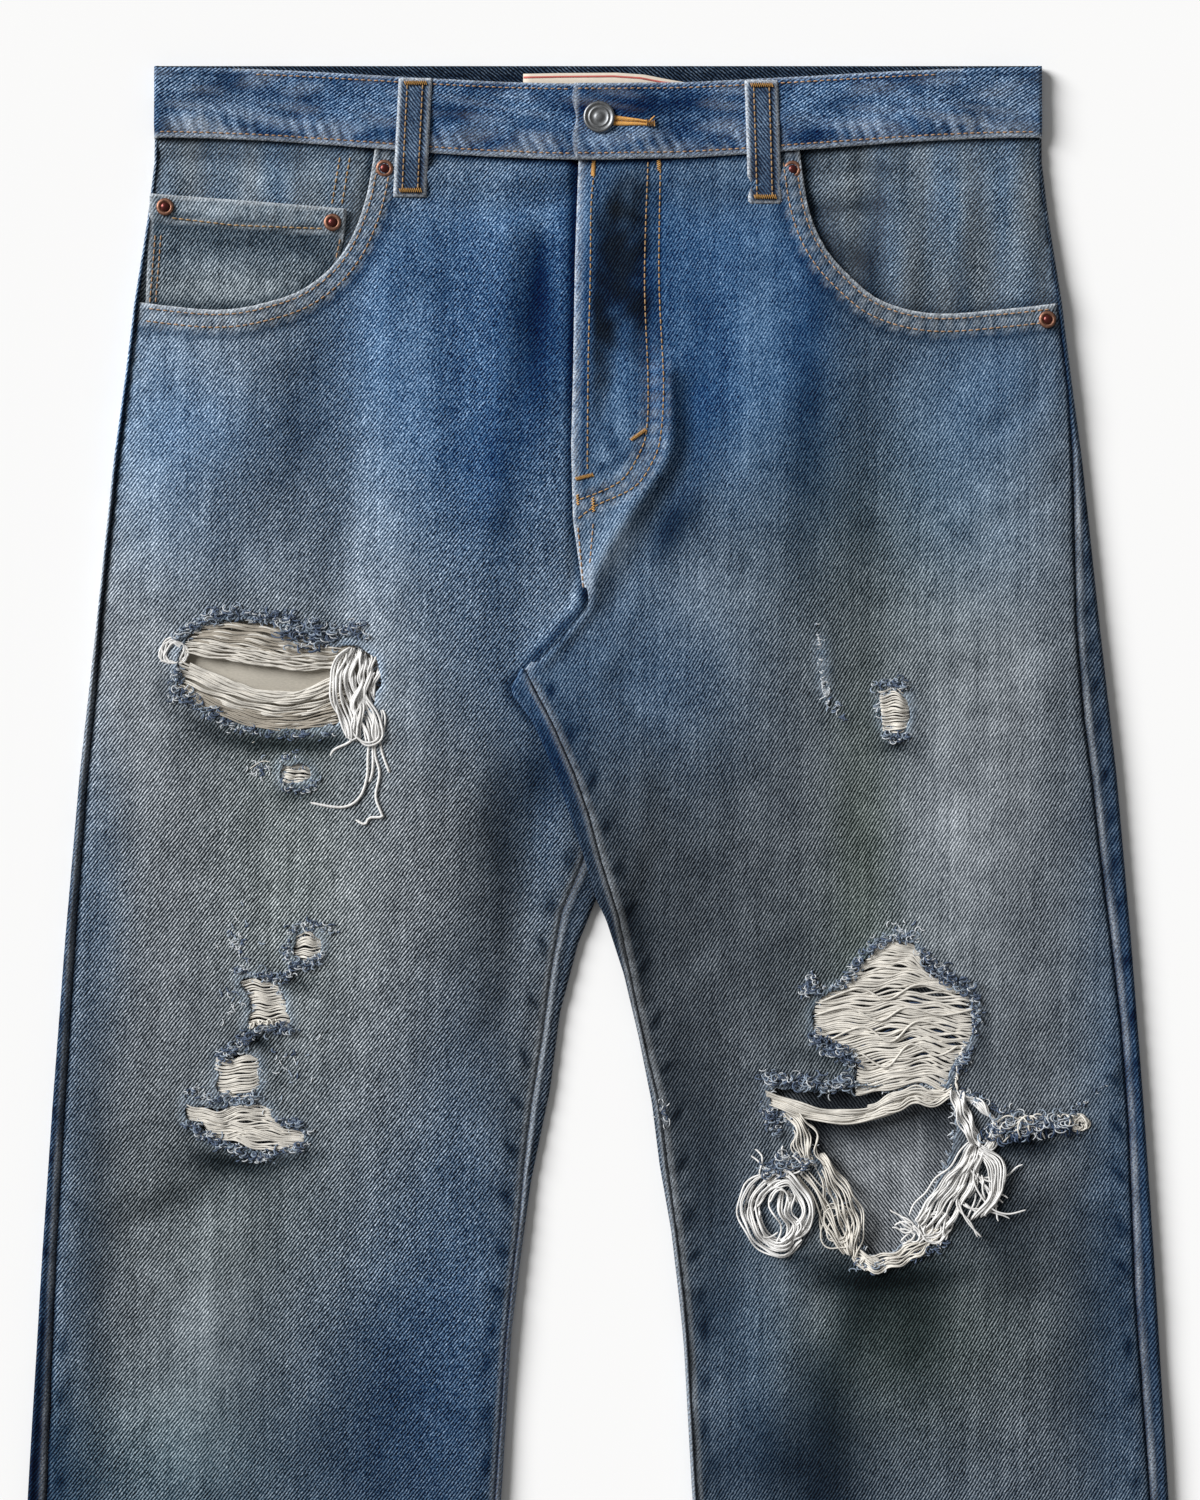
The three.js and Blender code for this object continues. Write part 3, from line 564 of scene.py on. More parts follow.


# Denim: twill lines at an angle, broken into yarns, over the painted dye, wear and shade
def denimMaterial(name, twillAngle, contrast, tone=None, blue=0.4, cloudScale=70, cloudAmount=1.0):
    material, tree, shader = newMaterial(name)

    def scaled(value, factor, offset):
        return calc(tree, "MULTIPLY_ADD", value, factor, offset)
    coords = makeNode(tree, "ShaderNodeTexCoord").outputs["Object"]
    angle = math.radians(twillAngle)
    turned = makeNode(tree, "ShaderNodeMapping", {"Vector": coords, "Rotation": (0, 0, -angle)})
    split = makeNode(tree, "ShaderNodeSeparateXYZ", {0: turned.outputs[0]})
    wobble = noiseOf(tree, turned.outputs[0], 260, 2, 0.6)
    bent = scaled(wobble, denim["bend"], split.outputs[1])
    wave = calc(tree, "SINE", calc(tree, "MULTIPLY", bent, 2 * math.pi / (denim["pitch"] * mm)))
    yarn = noiseOf(tree, turned.outputs[0], 1, 2, 0.6, (560, 1100, 1))
    grain = noiseOf(tree, coords, 1050, 2, 0.75)
    slub = noiseOf(tree, coords, 1, 3, 0.6, (330, 12, 1))
    streak = noiseOf(tree, coords, 1, 2, 0.5, (110, 9, 1))
    cloud = noiseOf(tree, coords, cloudScale, 4, 0.62)
    dye = makeNode(tree, "ShaderNodeAttribute", attribute_name="dye")
    dyeShadowParts = makeNode(tree, "ShaderNodeSeparateColor", {0: dye.outputs["Color"]}).outputs
    blueness = dyeShadowParts[1] if tone is None else blue
    wear = makeNode(tree, "ShaderNodeAttribute", attribute_name="wear")
    wearShadeParts = makeNode(tree, "ShaderNodeSeparateColor", {0: wear.outputs["Color"]}).outputs
    # lines stand out most where the yarn noise is high
    lines = calc(tree, "MULTIPLY", wave, scaled(yarn, 2.6, -0.4))
    # and less in the bluest cloth, which is speckled instead
    lines = calc(tree, "MULTIPLY", lines, scaled(blueness, -0.45, 1.15))
    speck = calc(tree, "MULTIPLY", calc(tree, "SUBTRACT", grain, 0.5), scaled(blueness, 0.75, 0.9))
    weave = calc(tree, "MULTIPLY", lines, denim["lines"] * contrast)
    weave = scaled(speck, denim["grain"] * contrast, weave)
    if tone is None:
        weave = calc(tree, "MULTIPLY", weave, calc(tree, "ADD", wearShadeParts[2], 0.5))
    factor = scaled(calc(tree, "SUBTRACT", slub, 0.5), denim["slub"], 1.0)
    factor = scaled(calc(tree, "SUBTRACT", streak, 0.5), denim["streak"], factor)
    factor = scaled(calc(tree, "SUBTRACT", cloud, 0.5), denim["cloud"] * cloudAmount, factor)
    # the second wear value darkens the colour here: painted shade, and dark seam spots
    light = scaled(wearShadeParts[1], -1.0, 1.0)
    if tone is None:
        # the darkest cloth shows the least weave
        shown = calc(tree, "MINIMUM", calc(tree, "MULTIPLY", dyeShadowParts[0], 3.2), 1.0)
        level = scaled(dyeShadowParts[0], factor, calc(tree, "MULTIPLY", weave, shown))
        level = calc(tree, "MULTIPLY", level, light)
        red = scaled(dyeShadowParts[1], -denim["redLoss"], level)
        deep = scaled(dyeShadowParts[1], denim["blueGain"], level)
        deep = scaled(dyeShadowParts[2], -0.05, deep)
        red = scaled(dyeShadowParts[2], -0.012, red)
    else:
        level = scaled(factor, tone, weave)
        level = calc(tree, "MULTIPLY", level, light)
        red = calc(tree, "SUBTRACT", level, denim["redLoss"] * blue)
        deep = calc(tree, "ADD", level, denim["blueGain"] * blue)
    color = makeNode(tree, "ShaderNodeCombineColor",
                     {0: calc(tree, "MAXIMUM", red, 0.02), 1: calc(tree, "MAXIMUM", level, 0.02),
                      2: calc(tree, "MAXIMUM", deep, 0.02)}).outputs[0]
    color = makeNode(tree, "ShaderNodeGamma", {"Color": color, "Gamma": 2.2}).outputs[0]
    if tone is None:
        speckle = scaled(grain, 2.2, -0.55)
        share = calc(tree, "MULTIPLY", wearShadeParts[0], speckle)
        share = makeNode(tree, "ShaderNodeClamp", {0: share}).outputs[0]
        color = makeNode(tree, "ShaderNodeMix", {0: share, 6: color, 7: (*denim["wornColor"], 1)},
                         data_type="RGBA").outputs[2]
    relief = scaled(grain, 1.2, lines)
    relief = scaled(cloud, 2.4 * cloudAmount, relief)
    bump = makeNode(tree, "ShaderNodeBump",
                    {"Strength": 0.35, "Distance": denim["relief"], "Height": relief})
    tree.links.new(color, shader.inputs["Base Color"])
    tree.links.new(bump.outputs[0], shader.inputs["Normal"])
    shader.inputs["Roughness"].default_value = denim["roughness"]
    shader.inputs["Specular IOR Level"].default_value = denim["shine"]
    return material


def plainMaterial(name, color, variation=0.15, scale=400, roughness=0.85, metallic=0.0, bump=0.00015,
                  stretch=(1, 1, 1)):
    material, tree, shader = newMaterial(name)
    coords = makeNode(tree, "ShaderNodeTexCoord").outputs["Object"]
    grain = noiseOf(tree, coords, scale, 4, 0.65, stretch)
    low = tuple(max(0.0, part * (1 - variation * 2)) for part in color) + (1,)
    high = tuple(min(1.0, part * (1 + variation)) for part in color) + (1,)
    color = makeNode(tree, "ShaderNodeMix", {0: grain, 6: low, 7: high}, data_type="RGBA").outputs[2]
    relief = makeNode(tree, "ShaderNodeBump", {"Strength": 0.5, "Distance": bump, "Height": grain})
    tree.links.new(color, shader.inputs["Base Color"])
    tree.links.new(relief.outputs[0], shader.inputs["Normal"])
    shader.inputs["Roughness"].default_value = roughness
    shader.inputs["Metallic"].default_value = metallic
    shader.inputs["Specular IOR Level"].default_value = 0.2 if metallic == 0 else 0.5
    return material


denimRight = denimMaterial("denimRightLeg", 52, 1.15)
denimLeft = denimMaterial("denimLeftLeg", 59, 0.85)
denimBand = denimMaterial("denimBand", 35, 1.25, cloudScale=280, cloudAmount=1.7)
denimLoop = denimMaterial("denimLoop", 128, 0.9, cloudScale=150, cloudAmount=1.2)
denimPocket = denimMaterial("denimPocket", 55, 1.0, cloudScale=120, cloudAmount=1.5)
denimFacing = denimMaterial("denimFacing", 50, 1.15, cloudScale=160, cloudAmount=0.8)
denimInside = denimMaterial("denimInside", 128, 0.95, 0.47, 0.15)
bandInside = denimMaterial("bandInside", 140, 0.8, 0.15, 0.45)
weftWhite = plainMaterial("bareWeft", (0.77, 0.735, 0.67), 0.27, 190)
fringeWhite = plainMaterial("fringeYarn", (0.90, 0.87, 0.82), 0.22, 190)
# a darker copy of the weft colour: painted shade for the threads lying low in the thigh rip
weftDim = plainMaterial("shadedWeft", (0.42, 0.38, 0.32), 0.2, 900)
weftShade = plainMaterial("blueLint", (0.115, 0.155, 0.235), 0.5, 260)
lintNavy = plainMaterial("navyLint", (0.05, 0.08, 0.15), 0.4, 260)
lintMiddle = plainMaterial("greyLint", (0.31, 0.375, 0.46), 0.4, 260)
lintPale = plainMaterial("paleLint", (0.62, 0.65, 0.68), 0.2, 400)
stitchTan = plainMaterial("tanThread", (0.50, 0.31, 0.18), 0.4, 160)
stitchGolden = plainMaterial("goldenThread", (0.50, 0.32, 0.16), 0.45, 500)
stitchOrange = plainMaterial("orangeThread", (0.86, 0.44, 0.13), 0.25, 300)
# cotton colour, partly the bag's own and partly painted shade for the inside of the thigh rip
bagCotton = plainMaterial("bagCotton", (0.50, 0.465, 0.40), 0.16, 500, stretch=(1, 3, 1))
labelTape = plainMaterial("labelTape", (0.70, 0.62, 0.52), 0.08, 500)
labelEdge = plainMaterial("labelEdge", (0.55, 0.14, 0.12), 0.1, 1200)
buttonSteel = plainMaterial("buttonSteel", (0.27, 0.28, 0.29), 0.35, 500, 0.48, 1.0)
rivetCopper = plainMaterial("rivetCopper", (0.36, 0.18, 0.12), 0.5, 700, 0.5, 0.85)
rivetDark = plainMaterial("rivetDark", (0.13, 0.03, 0.025), 0.3, 700, 0.3, 0.7)

print("fronts")
frontBuild = {
    "columns": 124,
    "closeRows": 264,  # rows down to closeDown, at the pockets and rips
    "openRows": 50,
    "firstDown": 39,
    "evenDown": 90,  # the rows slope above this, to meet the waistband
    "closeDown": 640,
    "thickness": 1.0,
}
rips = {
    -1: {
        "thigh": [(-217, 304), (-212, 296), (-203, 291), (-190, 288), (-174, 290), (-160, 293),
                  (-150, 298), (-138, 302), (-124, 302), (-115, 309), (-113, 322), (-118, 334),
                  (-136, 343), (-152, 346), (-172, 345), (-190, 341), (-200, 337), (-212, 329),
                  (-219, 326), (-219, 314)],
        "spot": [(-165, 365), (-156, 363), (-149, 366), (-149, 371), (-156, 374), (-164, 373)],
        "shinTop": [(-158, 453), (-150, 451), (-144, 455), (-143, 462), (-150, 466), (-158, 467)],
        "shinLadder": [(-187, 475), (-178, 474), (-167, 478), (-163, 484), (-162, 492), (-160, 499),
                       (-171, 499), (-182, 501), (-180, 490), (-183, 482)],
        "shinMiddle": [(-198, 516), (-186, 514), (-177, 515), (-176, 523), (-176, 532), (-187, 536),
                       (-199, 535), (-198, 526)],
        "shinBottom": [(-215, 540), (-198, 543), (-181, 539), (-171, 542), (-167, 550), (-152, 554),
                       (-152, 561), (-168, 566), (-186, 563), (-202, 558), (-207, 550), (-215, 547)],
    },
    1: {
        "spot": [(146, 329), (153, 325), (161, 328), (162, 338), (160, 345), (153, 348), (147, 342)],
        "slit": [(115.5, 300), (117.2, 300), (119, 328), (117.6, 328)],
        "kneeTop": [(144, 459), (152, 455), (163, 456), (168, 463), (179, 474), (194, 484), (196, 494),
                    (195, 504), (189, 513), (184, 522), (181, 531), (133, 531), (134, 516),
                    (121, 510), (112, 504), (112, 490), (116, 484), (128, 480), (134, 470)],
        "kneeHole": [(88, 531), (104, 533), (120, 534), (134, 531), (181, 531), (187, 548),
                     (184, 566), (177, 582), (168, 598), (164, 612), (154, 619), (140, 620),
                     (134, 610), (126, 592), (117, 574), (110, 560), (102, 549), (90, 543)],
    },
}


def frontShape(side):
    def shape(u, v):
        shares = [0, frontBuild["closeRows"], frontBuild["closeRows"] + frontBuild["openRows"]]
        shares = [share / shares[-1] for share in shares]
        first, even = frontBuild["firstDown"], frontBuild["evenDown"]
        down = np.interp(v, shares, [first, frontBuild["closeDown"], hemDown])
        inner = read(inseam[side], down)
        outer = sideSeam(side, down)
        left, right = (inner, outer) if side > 0 else (outer, inner)
        x = left + (right - left) * u
        # the first rows follow the bottom of the waistband
        top = bandBottom(x) - 2
        down = np.where(down < even, top + (down - first) * (even - top) / (even - first), down)
        return x, down, frontHeight(side, x, down)
    return shape


def scoopOutline(side):
    line = scoopLine[side]
    return line + [(side * 260, 20), (line[0][0], 20)]


ragRips = {side: {name: ragged(outline, seed=index + 3 * side)
                  for index, (name, outline) in enumerate(rips[side].items())} for side in rips}


# Soft shade on the cloth below the rims of the rips
ripShade = [
    (-200, 346, 16, 5, 0.34, 22), (-168, 353, 28, 5, 0.4, 2), (-140, 352, 12, 5, 0.4, -8),
    (-226, 326, 6, 12, 0.24), (-157, 379, 12, 3.5, 0.4), (-180, 505, 14, 4, 0.2),
    (-188, 570, 22, 4.5, 0.34, 6), (-160, 569, 14, 4, 0.3, -8), (-205, 566, 10, 6, 0.24, 20),
    (-180, 578, 16, 6, 0.2, 10), (154, 354, 10, 3.5, 0.36), (118, 516, 14, 4, 0.3, 12),
    (200, 508, 5, 14, 0.2), (90, 526, 16, 3, 0.2), (160, 632, 34, 6, 0.4, -8),
    (110, 622, 26, 6, 0.3, 10), (216, 562, 22, 4, 0.4, -4), (208, 600, 8, 16, 0.24),
    (116, 336, 3, 20, 0.1),
]


def makeFront(side, name, material):
    mesh = gridMesh(name, frontBuild["columns"], frontBuild["closeRows"] + frontBuild["openRows"],
                    frontShape(side))
    cutOut(mesh, scoopOutline(side))
    for outline in ragRips[side].values():
        cutOut(mesh, outline)
    x, down, height = getPlaces(mesh)
    tone = frontTone(x, down)
    blue = paint(x, down, blueSpots, 0.22) - 0.7 * unfaded(x, down)
    green = paint(x, down, greenSpots, 0.05)
    inner = read(inseam[side], down)
    outer = sideSeam(side, down)
    legPart = belowCrotch(down)
    outGap, inGap = np.abs(x - outer), np.abs(x - inner)
    scoopGap, scoopAlong = lineDistance(x, down, scoopLine[side])
    tone += 0.02 * soft(1 - (scoopGap - 9) / 2)
    blue -= 0.15 * soft(1 - (scoopGap - 9) / 2)
    worn = 1.0 * bell(scoopGap, 1.2)
    worn += 0.26 * bell(scoopGap - 5.8, 1.8) * (0.5 + 0.8 * puckers(scoopAlong, scoopGap, 30, 7))
    worn += 0.26 * bell(scoopGap - 11, 1.2) * (0.5 + 0.8 * puckers(scoopAlong, scoopGap, 30, 9))
    worn += 0.55 * bell(inGap - 1.0, 1.2) * legPart
    dark = 0.5 * bell(outGap, 1.1) * soft((down - 150) / 60)
    # painted shade just beyond the raised pocket band and just inside its lip
    dark += 0.3 * bell(scoopGap - 13.5, 2.4) + 0.3 * bell(scoopGap - 3.4, 0.8)
    # painted shadow below the waistband's lower edge
    dark += 0.62 * soft(1 - (down - bandBottom(x)) / 4.2)
    dark += 0.5 * seamSpots(down + 9 * side, inGap - 7.5, 4.0) * legPart
    lower = soft((down - 500) / 40) if side > 0 else soft((down - 640) / 40)
    dark += 0.5 * seamSpots(down + 3, outGap - 6.5, 4.0) * lower
    flyGap, flyAlong = lineDistance(x, down, flyEdge)
    if side < 0:  # shade beside the fly and the flap
        dark += 0.5 * bell(flyGap, 2.6) + 0.3 * bell(flyGap, 9) * soft((200 - down) / 60)
        dark += 0.5 * bell(lineDistance(x, down, flapFold)[0], 3.0)
    if side > 0:
        worn += 1.05 * bell(flyGap, 1.2) * (0.75 + 0.25 * puckers(flyAlong, flyGap, 20, 12))
        worn += 0.35 * bell(lineDistance(x, down, flapFold)[0], 2.0)
        braid = soft((-4.5 - x) / 1.5) * soft((232 - down) / 20)
        ribs = 0.7 + 0.5 * np.sin(2 * np.pi * (down + 0.7 * x) / 2.9)
        worn += 0.42 * braid * ribs * bell(flyGap - 2.4, 1.6)
        dark += 0.3 * braid * soft((flyGap - 4) / 2) * soft((down - 80) / 40)
        for line in flyStitch:
            gap, along = lineDistance(x, down, line)
            lower = soft((down - 130) / 60)
            worn += 0.34 * lower * bell(gap - 2.6, 1.3) * (0.5 + 0.5 * puckers(along, gap, 9, 8))
            dark += 0.25 * bell(gap, 1.2)
    dark += paint(x, down, ripShade, 0)
    for outline in ragRips[side].values():
        gap = nearestOn(outline, x, down)[2]
        rim = bell(gap, 3.2)
        worn += 0.3 * rim * (0.5 + 0.5 * wander(x, down, 2.2, 9))
        blue += 0.2 * rim
        height += (0.6 * wander(x, down, 6, 11) + 0.6) * bell(gap, 4.0)
    setPlaces(mesh, x, down, height)
    setDyeWearShade(mesh, tone, blue, green, worn, dark, paint(x, down, weaveSpots, 0.5))
    return addPiece(name, mesh, [material, denimInside],
                    ["front_right" if side < 0 else "front_left"], frontBuild["thickness"])


frontRight = makeFront(-1, "denimFrontRight", denimRight)
frontLeft = makeFront(1, "denimFrontLeft", denimLeft)

print("backs and yokes")
backBuild = {
    "strip": 5,  # columns of each part of the section
    "nose": 10,
    "under": 26,
    "noseRadius": 2.6,
    "evenDown": 130,  # the rows slope above this, to meet the yoke
    "thickness": 1.0,
}
edgeRise = [(60, 0), (120, 1.4), (300, 2.2), (420, 2.8), (745, 2.8)]  # at the outer edges


# Height of the back's strips on top, beside the front's seams
def stripHeight(side, x, down, seam, edge):
    front = frontHeight(side, seam, down)
    wide = np.where(np.abs(edge - seam) > 0.01, edge - seam, 1)
    share = np.clip((x - seam) / wide, 0, 1)
    ridge = 1.5 * bell(np.abs(x - seam) - 2.4, 1.7)
    rise = np.where(side * x > 110, read(edgeRise, down), 0.6) * soft(share)
    return front - 0.2 + ridge + rise


def underHeight(side, x, down):
    flat = np.zeros(np.shape(x))
    if side > 0:
        level = read([(0, 6.5), (345, 6.5), (420, 5.6)], down)
        climb = level * soft(1 - (x - read(coveredEdge, down) - 1.5) / 20)
        flat = np.where(down >= garment["flapDown"], climb, flat)
    across = np.clip((read(outerEdge, down) - np.abs(x) - 27) / 10, 0, 1)
    along = np.clip((302 - down) / 10, 0, 1)
    return np.maximum(flat, 1.3 * across * along)


def noseRadius(edge, seam):  # the folded edge is tighter where its strip on top is narrow
    return np.minimum(backBuild["noseRadius"], np.abs(edge - seam) * 0.9)


# The section of a back panel, from the seam on the right round underneath to the left seam
def backShape(side, downs, closed):
    parts = [("strip", backBuild["strip"]), ("nose", backBuild["nose"]), ("under", backBuild["under"]),
             ("nose", backBuild["nose"]), ("strip", backBuild["strip"])]
    if not closed:  # the seat ends at the back rise
        parts = parts[:3] if side > 0 else parts[2:]
    total = sum(count for kind, count in parts)

    def shape(u, v):
        down = np.interp(v, np.linspace(0, 1, len(downs)), downs)
        outer = side * read(outerEdge, down)
        outSeam = sideSeam(side, down)
        if closed:
            inner, inSeam = read(innerEdge[side], down), read(inseam[side], down)
            gap = 2.2 - np.abs(inner - inSeam)
            inSeam = np.where(gap > 0, inner + side * 2.2, inSeam)
        else:
            inner = inSeam = read(backRise, down) + side * 0.15
        right, rightSeam = (outer, outSeam) if side > 0 else (inner, inSeam)
        left, leftSeam = (inner, inSeam) if side > 0 else (outer, outSeam)
        step = u * total
        x, height = np.zeros(np.shape(u)), np.zeros(np.shape(u))
        start = 0
        first = True
        for kind, count in parts:
            share = np.clip((step - start) / count, 0, 1)
            chosen = (step >= start - 1e-6) & (step <= start + count + 1e-6)
            onRight = first and kind != "under"
            edge, seam = (right, rightSeam) if onRight else (left, leftSeam)
            sign = 1 if onRight else -1
            top = stripHeight(side, edge, down, seam, edge)
            low = underHeight(side, edge, down)
            radius = noseRadius(edge, seam)
            if kind == "strip":
                turnShare = share if onRight else 1 - share
                px = seam + (edge - sign * radius - seam) * turnShare
                pz = stripHeight(side, px, down, seam, edge)
            elif kind == "nose":
                angle = np.pi * (share if onRight else 1 - share)
                px = edge - sign * radius * (1 - np.sin(angle))
                middle, half = (top + low) / 2, (top - low) / 2
                pz = middle + half * np.cos(angle)
            else:
                span0 = right - noseRadius(right, rightSeam) * (closed or side > 0)
                span1 = left + noseRadius(left, leftSeam) * (closed or side < 0)
                px = span0 + (span1 - span0) * share
                pz = underHeight(side, px, down)
            x, height = np.where(chosen, px, x), np.where(chosen, pz, height)
            start += count
            if kind == "under":
                first = False
        return x, down, height
    return shape, total


def joinMeshes(name, meshes):
    bm = bmesh.new()
    for mesh in meshes:
        bm.from_mesh(mesh)
    bmesh.ops.remove_doubles(bm, verts=bm.verts, dist=0.00002)
    joined = bpy.data.meshes.new(name)
    bm.to_mesh(joined)
    bm.free()
    return joined


# Shade inside the open knee and under the other rips
insideShade = [
    (128, 540, 36, 8, 0.5, 6), (130, 555, 28, 9, 0.34, 6), (176, 550, 10, 14, 0.26),
    (112, 560, 8, 18, 0.4, 20), (186, 560, 10, 30, 0.3), (150, 500, 50, 40, 0.45),
    (-180, 500, 40, 60, 0.5), (154, 337, 12, 14, 0.5),
]


def paintBack(mesh, side):
    x, down, height = getPlaces(mesh)
    outer = (height > 3.0) * (np.abs(x) > 200)
    tone = paint(x, down, toneSpots, 84) / 255 - 0.03 - 0.09 * outer * soft((down - 150) / 80)
    blue = paint(x, down, blueSpots, 0.32)
    green = paint(x, down, greenSpots, 0.0)
    outSeam = sideSeam(side, down)
    inSeam = read(inseam[side], down)
    top = height > 3.0
    outGap, inGap = np.abs(x - outSeam), np.abs(x - inSeam)
    legPart = belowCrotch(down)
    worn = 0.55 * bell(outGap - 2.0, 1.3) * (0.6 + 0.4 * wander(x, down, 9, 4)) * top
    worn += 0.45 * bell(inGap - 1.6, 1.2) * legPart * top
    worn *= soft((down - 180) / 60)
    dark = 0.55 * bell(outGap, 0.8) * top + 0.5 * bell(inGap, 0.7) * top * legPart
    dark += 0.5 * seamSpots(down + 12, outGap - 6.5, 3.2) * top * (1 - soft((down - 500) / 60) * (side > 0))
    dark += np.where(top & (inGap < 20), 0.14 * legPart, 0)
    dark += np.where(top, 0, paint(x, down, insideShade, 0))
    setDyeWearShade(mesh, np.clip(tone, 0.12, 0.7), blue, green, worn, dark)


def makeBack(side, name, node, material):
    start = garment["flapDown"] if side > 0 else garment["crotchDown"]
    even = backBuild["evenDown"]
    seatDowns = list(np.linspace(garment["yokeSide"] + 0.3, even, 10))
    seatDowns += list(np.linspace(even + 10, start, 36))
    legDowns = list(np.linspace(start, 640, 100)) + list(np.linspace(648, hemDown, 44))
    seatPart, seatColumns = backShape(side, seatDowns, False)
    legPart, legColumns = backShape(side, legDowns, True)

    def seatShape(u, v):  # its top row follows the sloping yoke seam
        x, down, height = seatPart(u, v)
        slope = yokeLine(x) + 0.3
        moved = slope + (down - seatDowns[0]) * (even - slope) / (even - seatDowns[0])
        return x, np.where(down < even, moved, down), height
    seat = gridMesh(name + "Seat", seatColumns, len(seatDowns) - 1, seatShape)
    leg = gridMesh(name + "Leg", legColumns, len(legDowns) - 1, legPart)
    mesh = joinMeshes(name, [seat, leg])
    paintBack(mesh, side)
    return addPiece(name, mesh, [material, denimInside], [node], backBuild["thickness"])


backRight = makeBack(-1, "denimBackRight", "back_right", denimRight)
backLeft = makeBack(1, "denimBackLeft", "back_left", denimLeft)


def makeYoke(side, name, node, material):
    top = 37.5
    shape, columns = backShape(side, [top, garment["yokeSide"]], False)

    def yokeShape(u, v):
        x, down, height = shape(u, v)
        down = top + (down - top) * (yokeLine(x) - top) / (garment["yokeSide"] - top)
        return x, down, height
    mesh = gridMesh(name, columns, 12, yokeShape)
    paintBack(mesh, side)
    return addPiece(name, mesh, [material, denimInside], [node], 1.0)


yokeRight = makeYoke(-1, "denimYokeRight", "yoke_right", denimRight)
yokeLeft = makeYoke(1, "denimYokeLeft", "yoke_left", denimLeft)

print("pockets")


# A flat cloth piece with a drawn outline, cut into a lattice so that it can carry relief
def flatPiece(name, outline, step, heightOf, flip=False):
    bm = bmesh.new()
    corners = [bm.verts.new((x, -down, 0)) for x, down in outline]
    bm.faces.new(corners)
    xs = [x for x, down in outline]
    downs = [down for x, down in outline]
    for axis, values in (((1, 0, 0), xs), ((0, 1, 0), [-down for down in downs])):
        position = min(values) + step
        while position < max(values) - step / 3:
            place = Vector(axis) * position
            bmesh.ops.bisect_plane(bm, geom=bm.verts[:] + bm.edges[:] + bm.faces[:], plane_co=place,
                                   plane_no=axis)
            position += step
    bmesh.ops.remove_doubles(bm, verts=bm.verts, dist=0.0001)
    bm.normal_update()
    bmesh.ops.reverse_faces(bm, faces=[face for face in bm.faces if (face.normal.z < 0) != flip])
    mesh = bpy.data.meshes.new(name)
    bm.to_mesh(mesh)
    bm.free()
    flat = rawPlaces(mesh)
    x, down = flat[:, 0], -flat[:, 1]
    setPlaces(mesh, x, down, heightOf(x, down))
    return mesh


def mirrored(points, side):
    return [(side * x, down) for x, down in points]


facingOutline = [(94, 42), (229.6, 35), (230.3, 60), (233, 80), (240, 122), (242, 140), (150, 146),
                 (94, 112)]


# Soft folds on the facings, down from the waistband: line, half width, height
facingFolds = {
    -1: [([(-222, 56), (-180, 50), (-140, 58)], 4, 0.8), ([(-210, 64), (-160, 62), (-124, 68)], 4, -0.7)],
    1: [([(108, 74), (130, 70), (148, 66)], 4, -1.3), ([(106, 60), (140, 58), (176, 54)], 5, 0.9),
        ([(120, 96), (140, 104)], 6, -1.3), ([(150, 84), (162, 122)], 8, 0.8),
        ([(168, 60), (176, 122)], 7, -0.7), ([(186, 50), (200, 124)], 6, 0.8),
        ([(214, 60), (222, 122)], 6, 0.7)],
}


def facingHeight(side):
    def height(x, down):
        base = 5.1 + 0.5 * wander(x, down, 26, 3)
        for line, width, amount in facingFolds[side]:
            base = base + amount * bell(lineDistance(x, down, line)[0], width)
        return np.minimum(base, 6.0)
    return height


# Lighter and darker spots on the pocket pieces: x, down, reach across, reach down, amount, and any turn
facingSpots = {
    -1: [(-205, 56, 26, 7, 18, 4), (-165, 60, 26, 6, 14), (-136, 56, 12, 10, 10), (-120, 60, 8, 14, -14),
         (-190, 47, 50, 4, -30), (-128, 96, 7, 16, -26), (-150, 58, 40, 4, 16, 4), (-226, 56, 6, 12, -18)],
    1: [(128, 62, 22, 6, 26, -8), (126, 74, 22, 4, -40, -6), (140, 54, 40, 4, -22),
        (132, 100, 14, 9, -44, 30),
        (158, 100, 9, 22, 16, 10), (174, 92, 6, 30, -8, 10), (187, 82, 5, 30, 26, 6), (203, 92, 5, 30, -4),
        (217, 96, 6, 30, 30, 8), (196, 60, 30, 10, 16), (118, 88, 12, 9, -12), (228, 56, 8, 22, -10)],
}


def makeFacing(side, name, node):
    mesh = flatPiece(name, mirrored(facingOutline, side), 3, facingHeight(side))
    x, down, height = getPlaces(mesh)
    gap = lineDistance(x, down, scoopLine[side])[0]
    tone = paint(x, down, facingSpots[side], 92 if side < 0 else 76) / 255 + 0.02 * wander(x, down, 9, 8)
    tone = tone + 0.05 * wander(x, down * 0.12, 7, 14) + 0.045 * wander(x, down * 0.12, 3.6, 15)
    tone = np.maximum(tone, 0.13)
    # painted shade along the pocket opening under the front's lip, and below the waistband
    dark = 0.4 * bell(gap, 4) + 0.45 * soft(1 - (down - bandBottom(x)) / 4)
    blue = 0.5 + 0.12 * wander(x, down, 30, 3) + 0.14 * wander(x, down * 0.12, 5, 16)
    setDyeWearShade(mesh, tone, blue, 0.2, 0.05 + 0.05 * wander(x, down * 0.2, 4, 4), dark)
    return addPiece(name, mesh, [denimFacing, denimInside], [node], 1.0)


facingRight = makeFacing(-1, "denimFacingRight", "pocket_facing_right")
facingLeft = makeFacing(1, "denimFacingLeft", "pocket_facing_left")

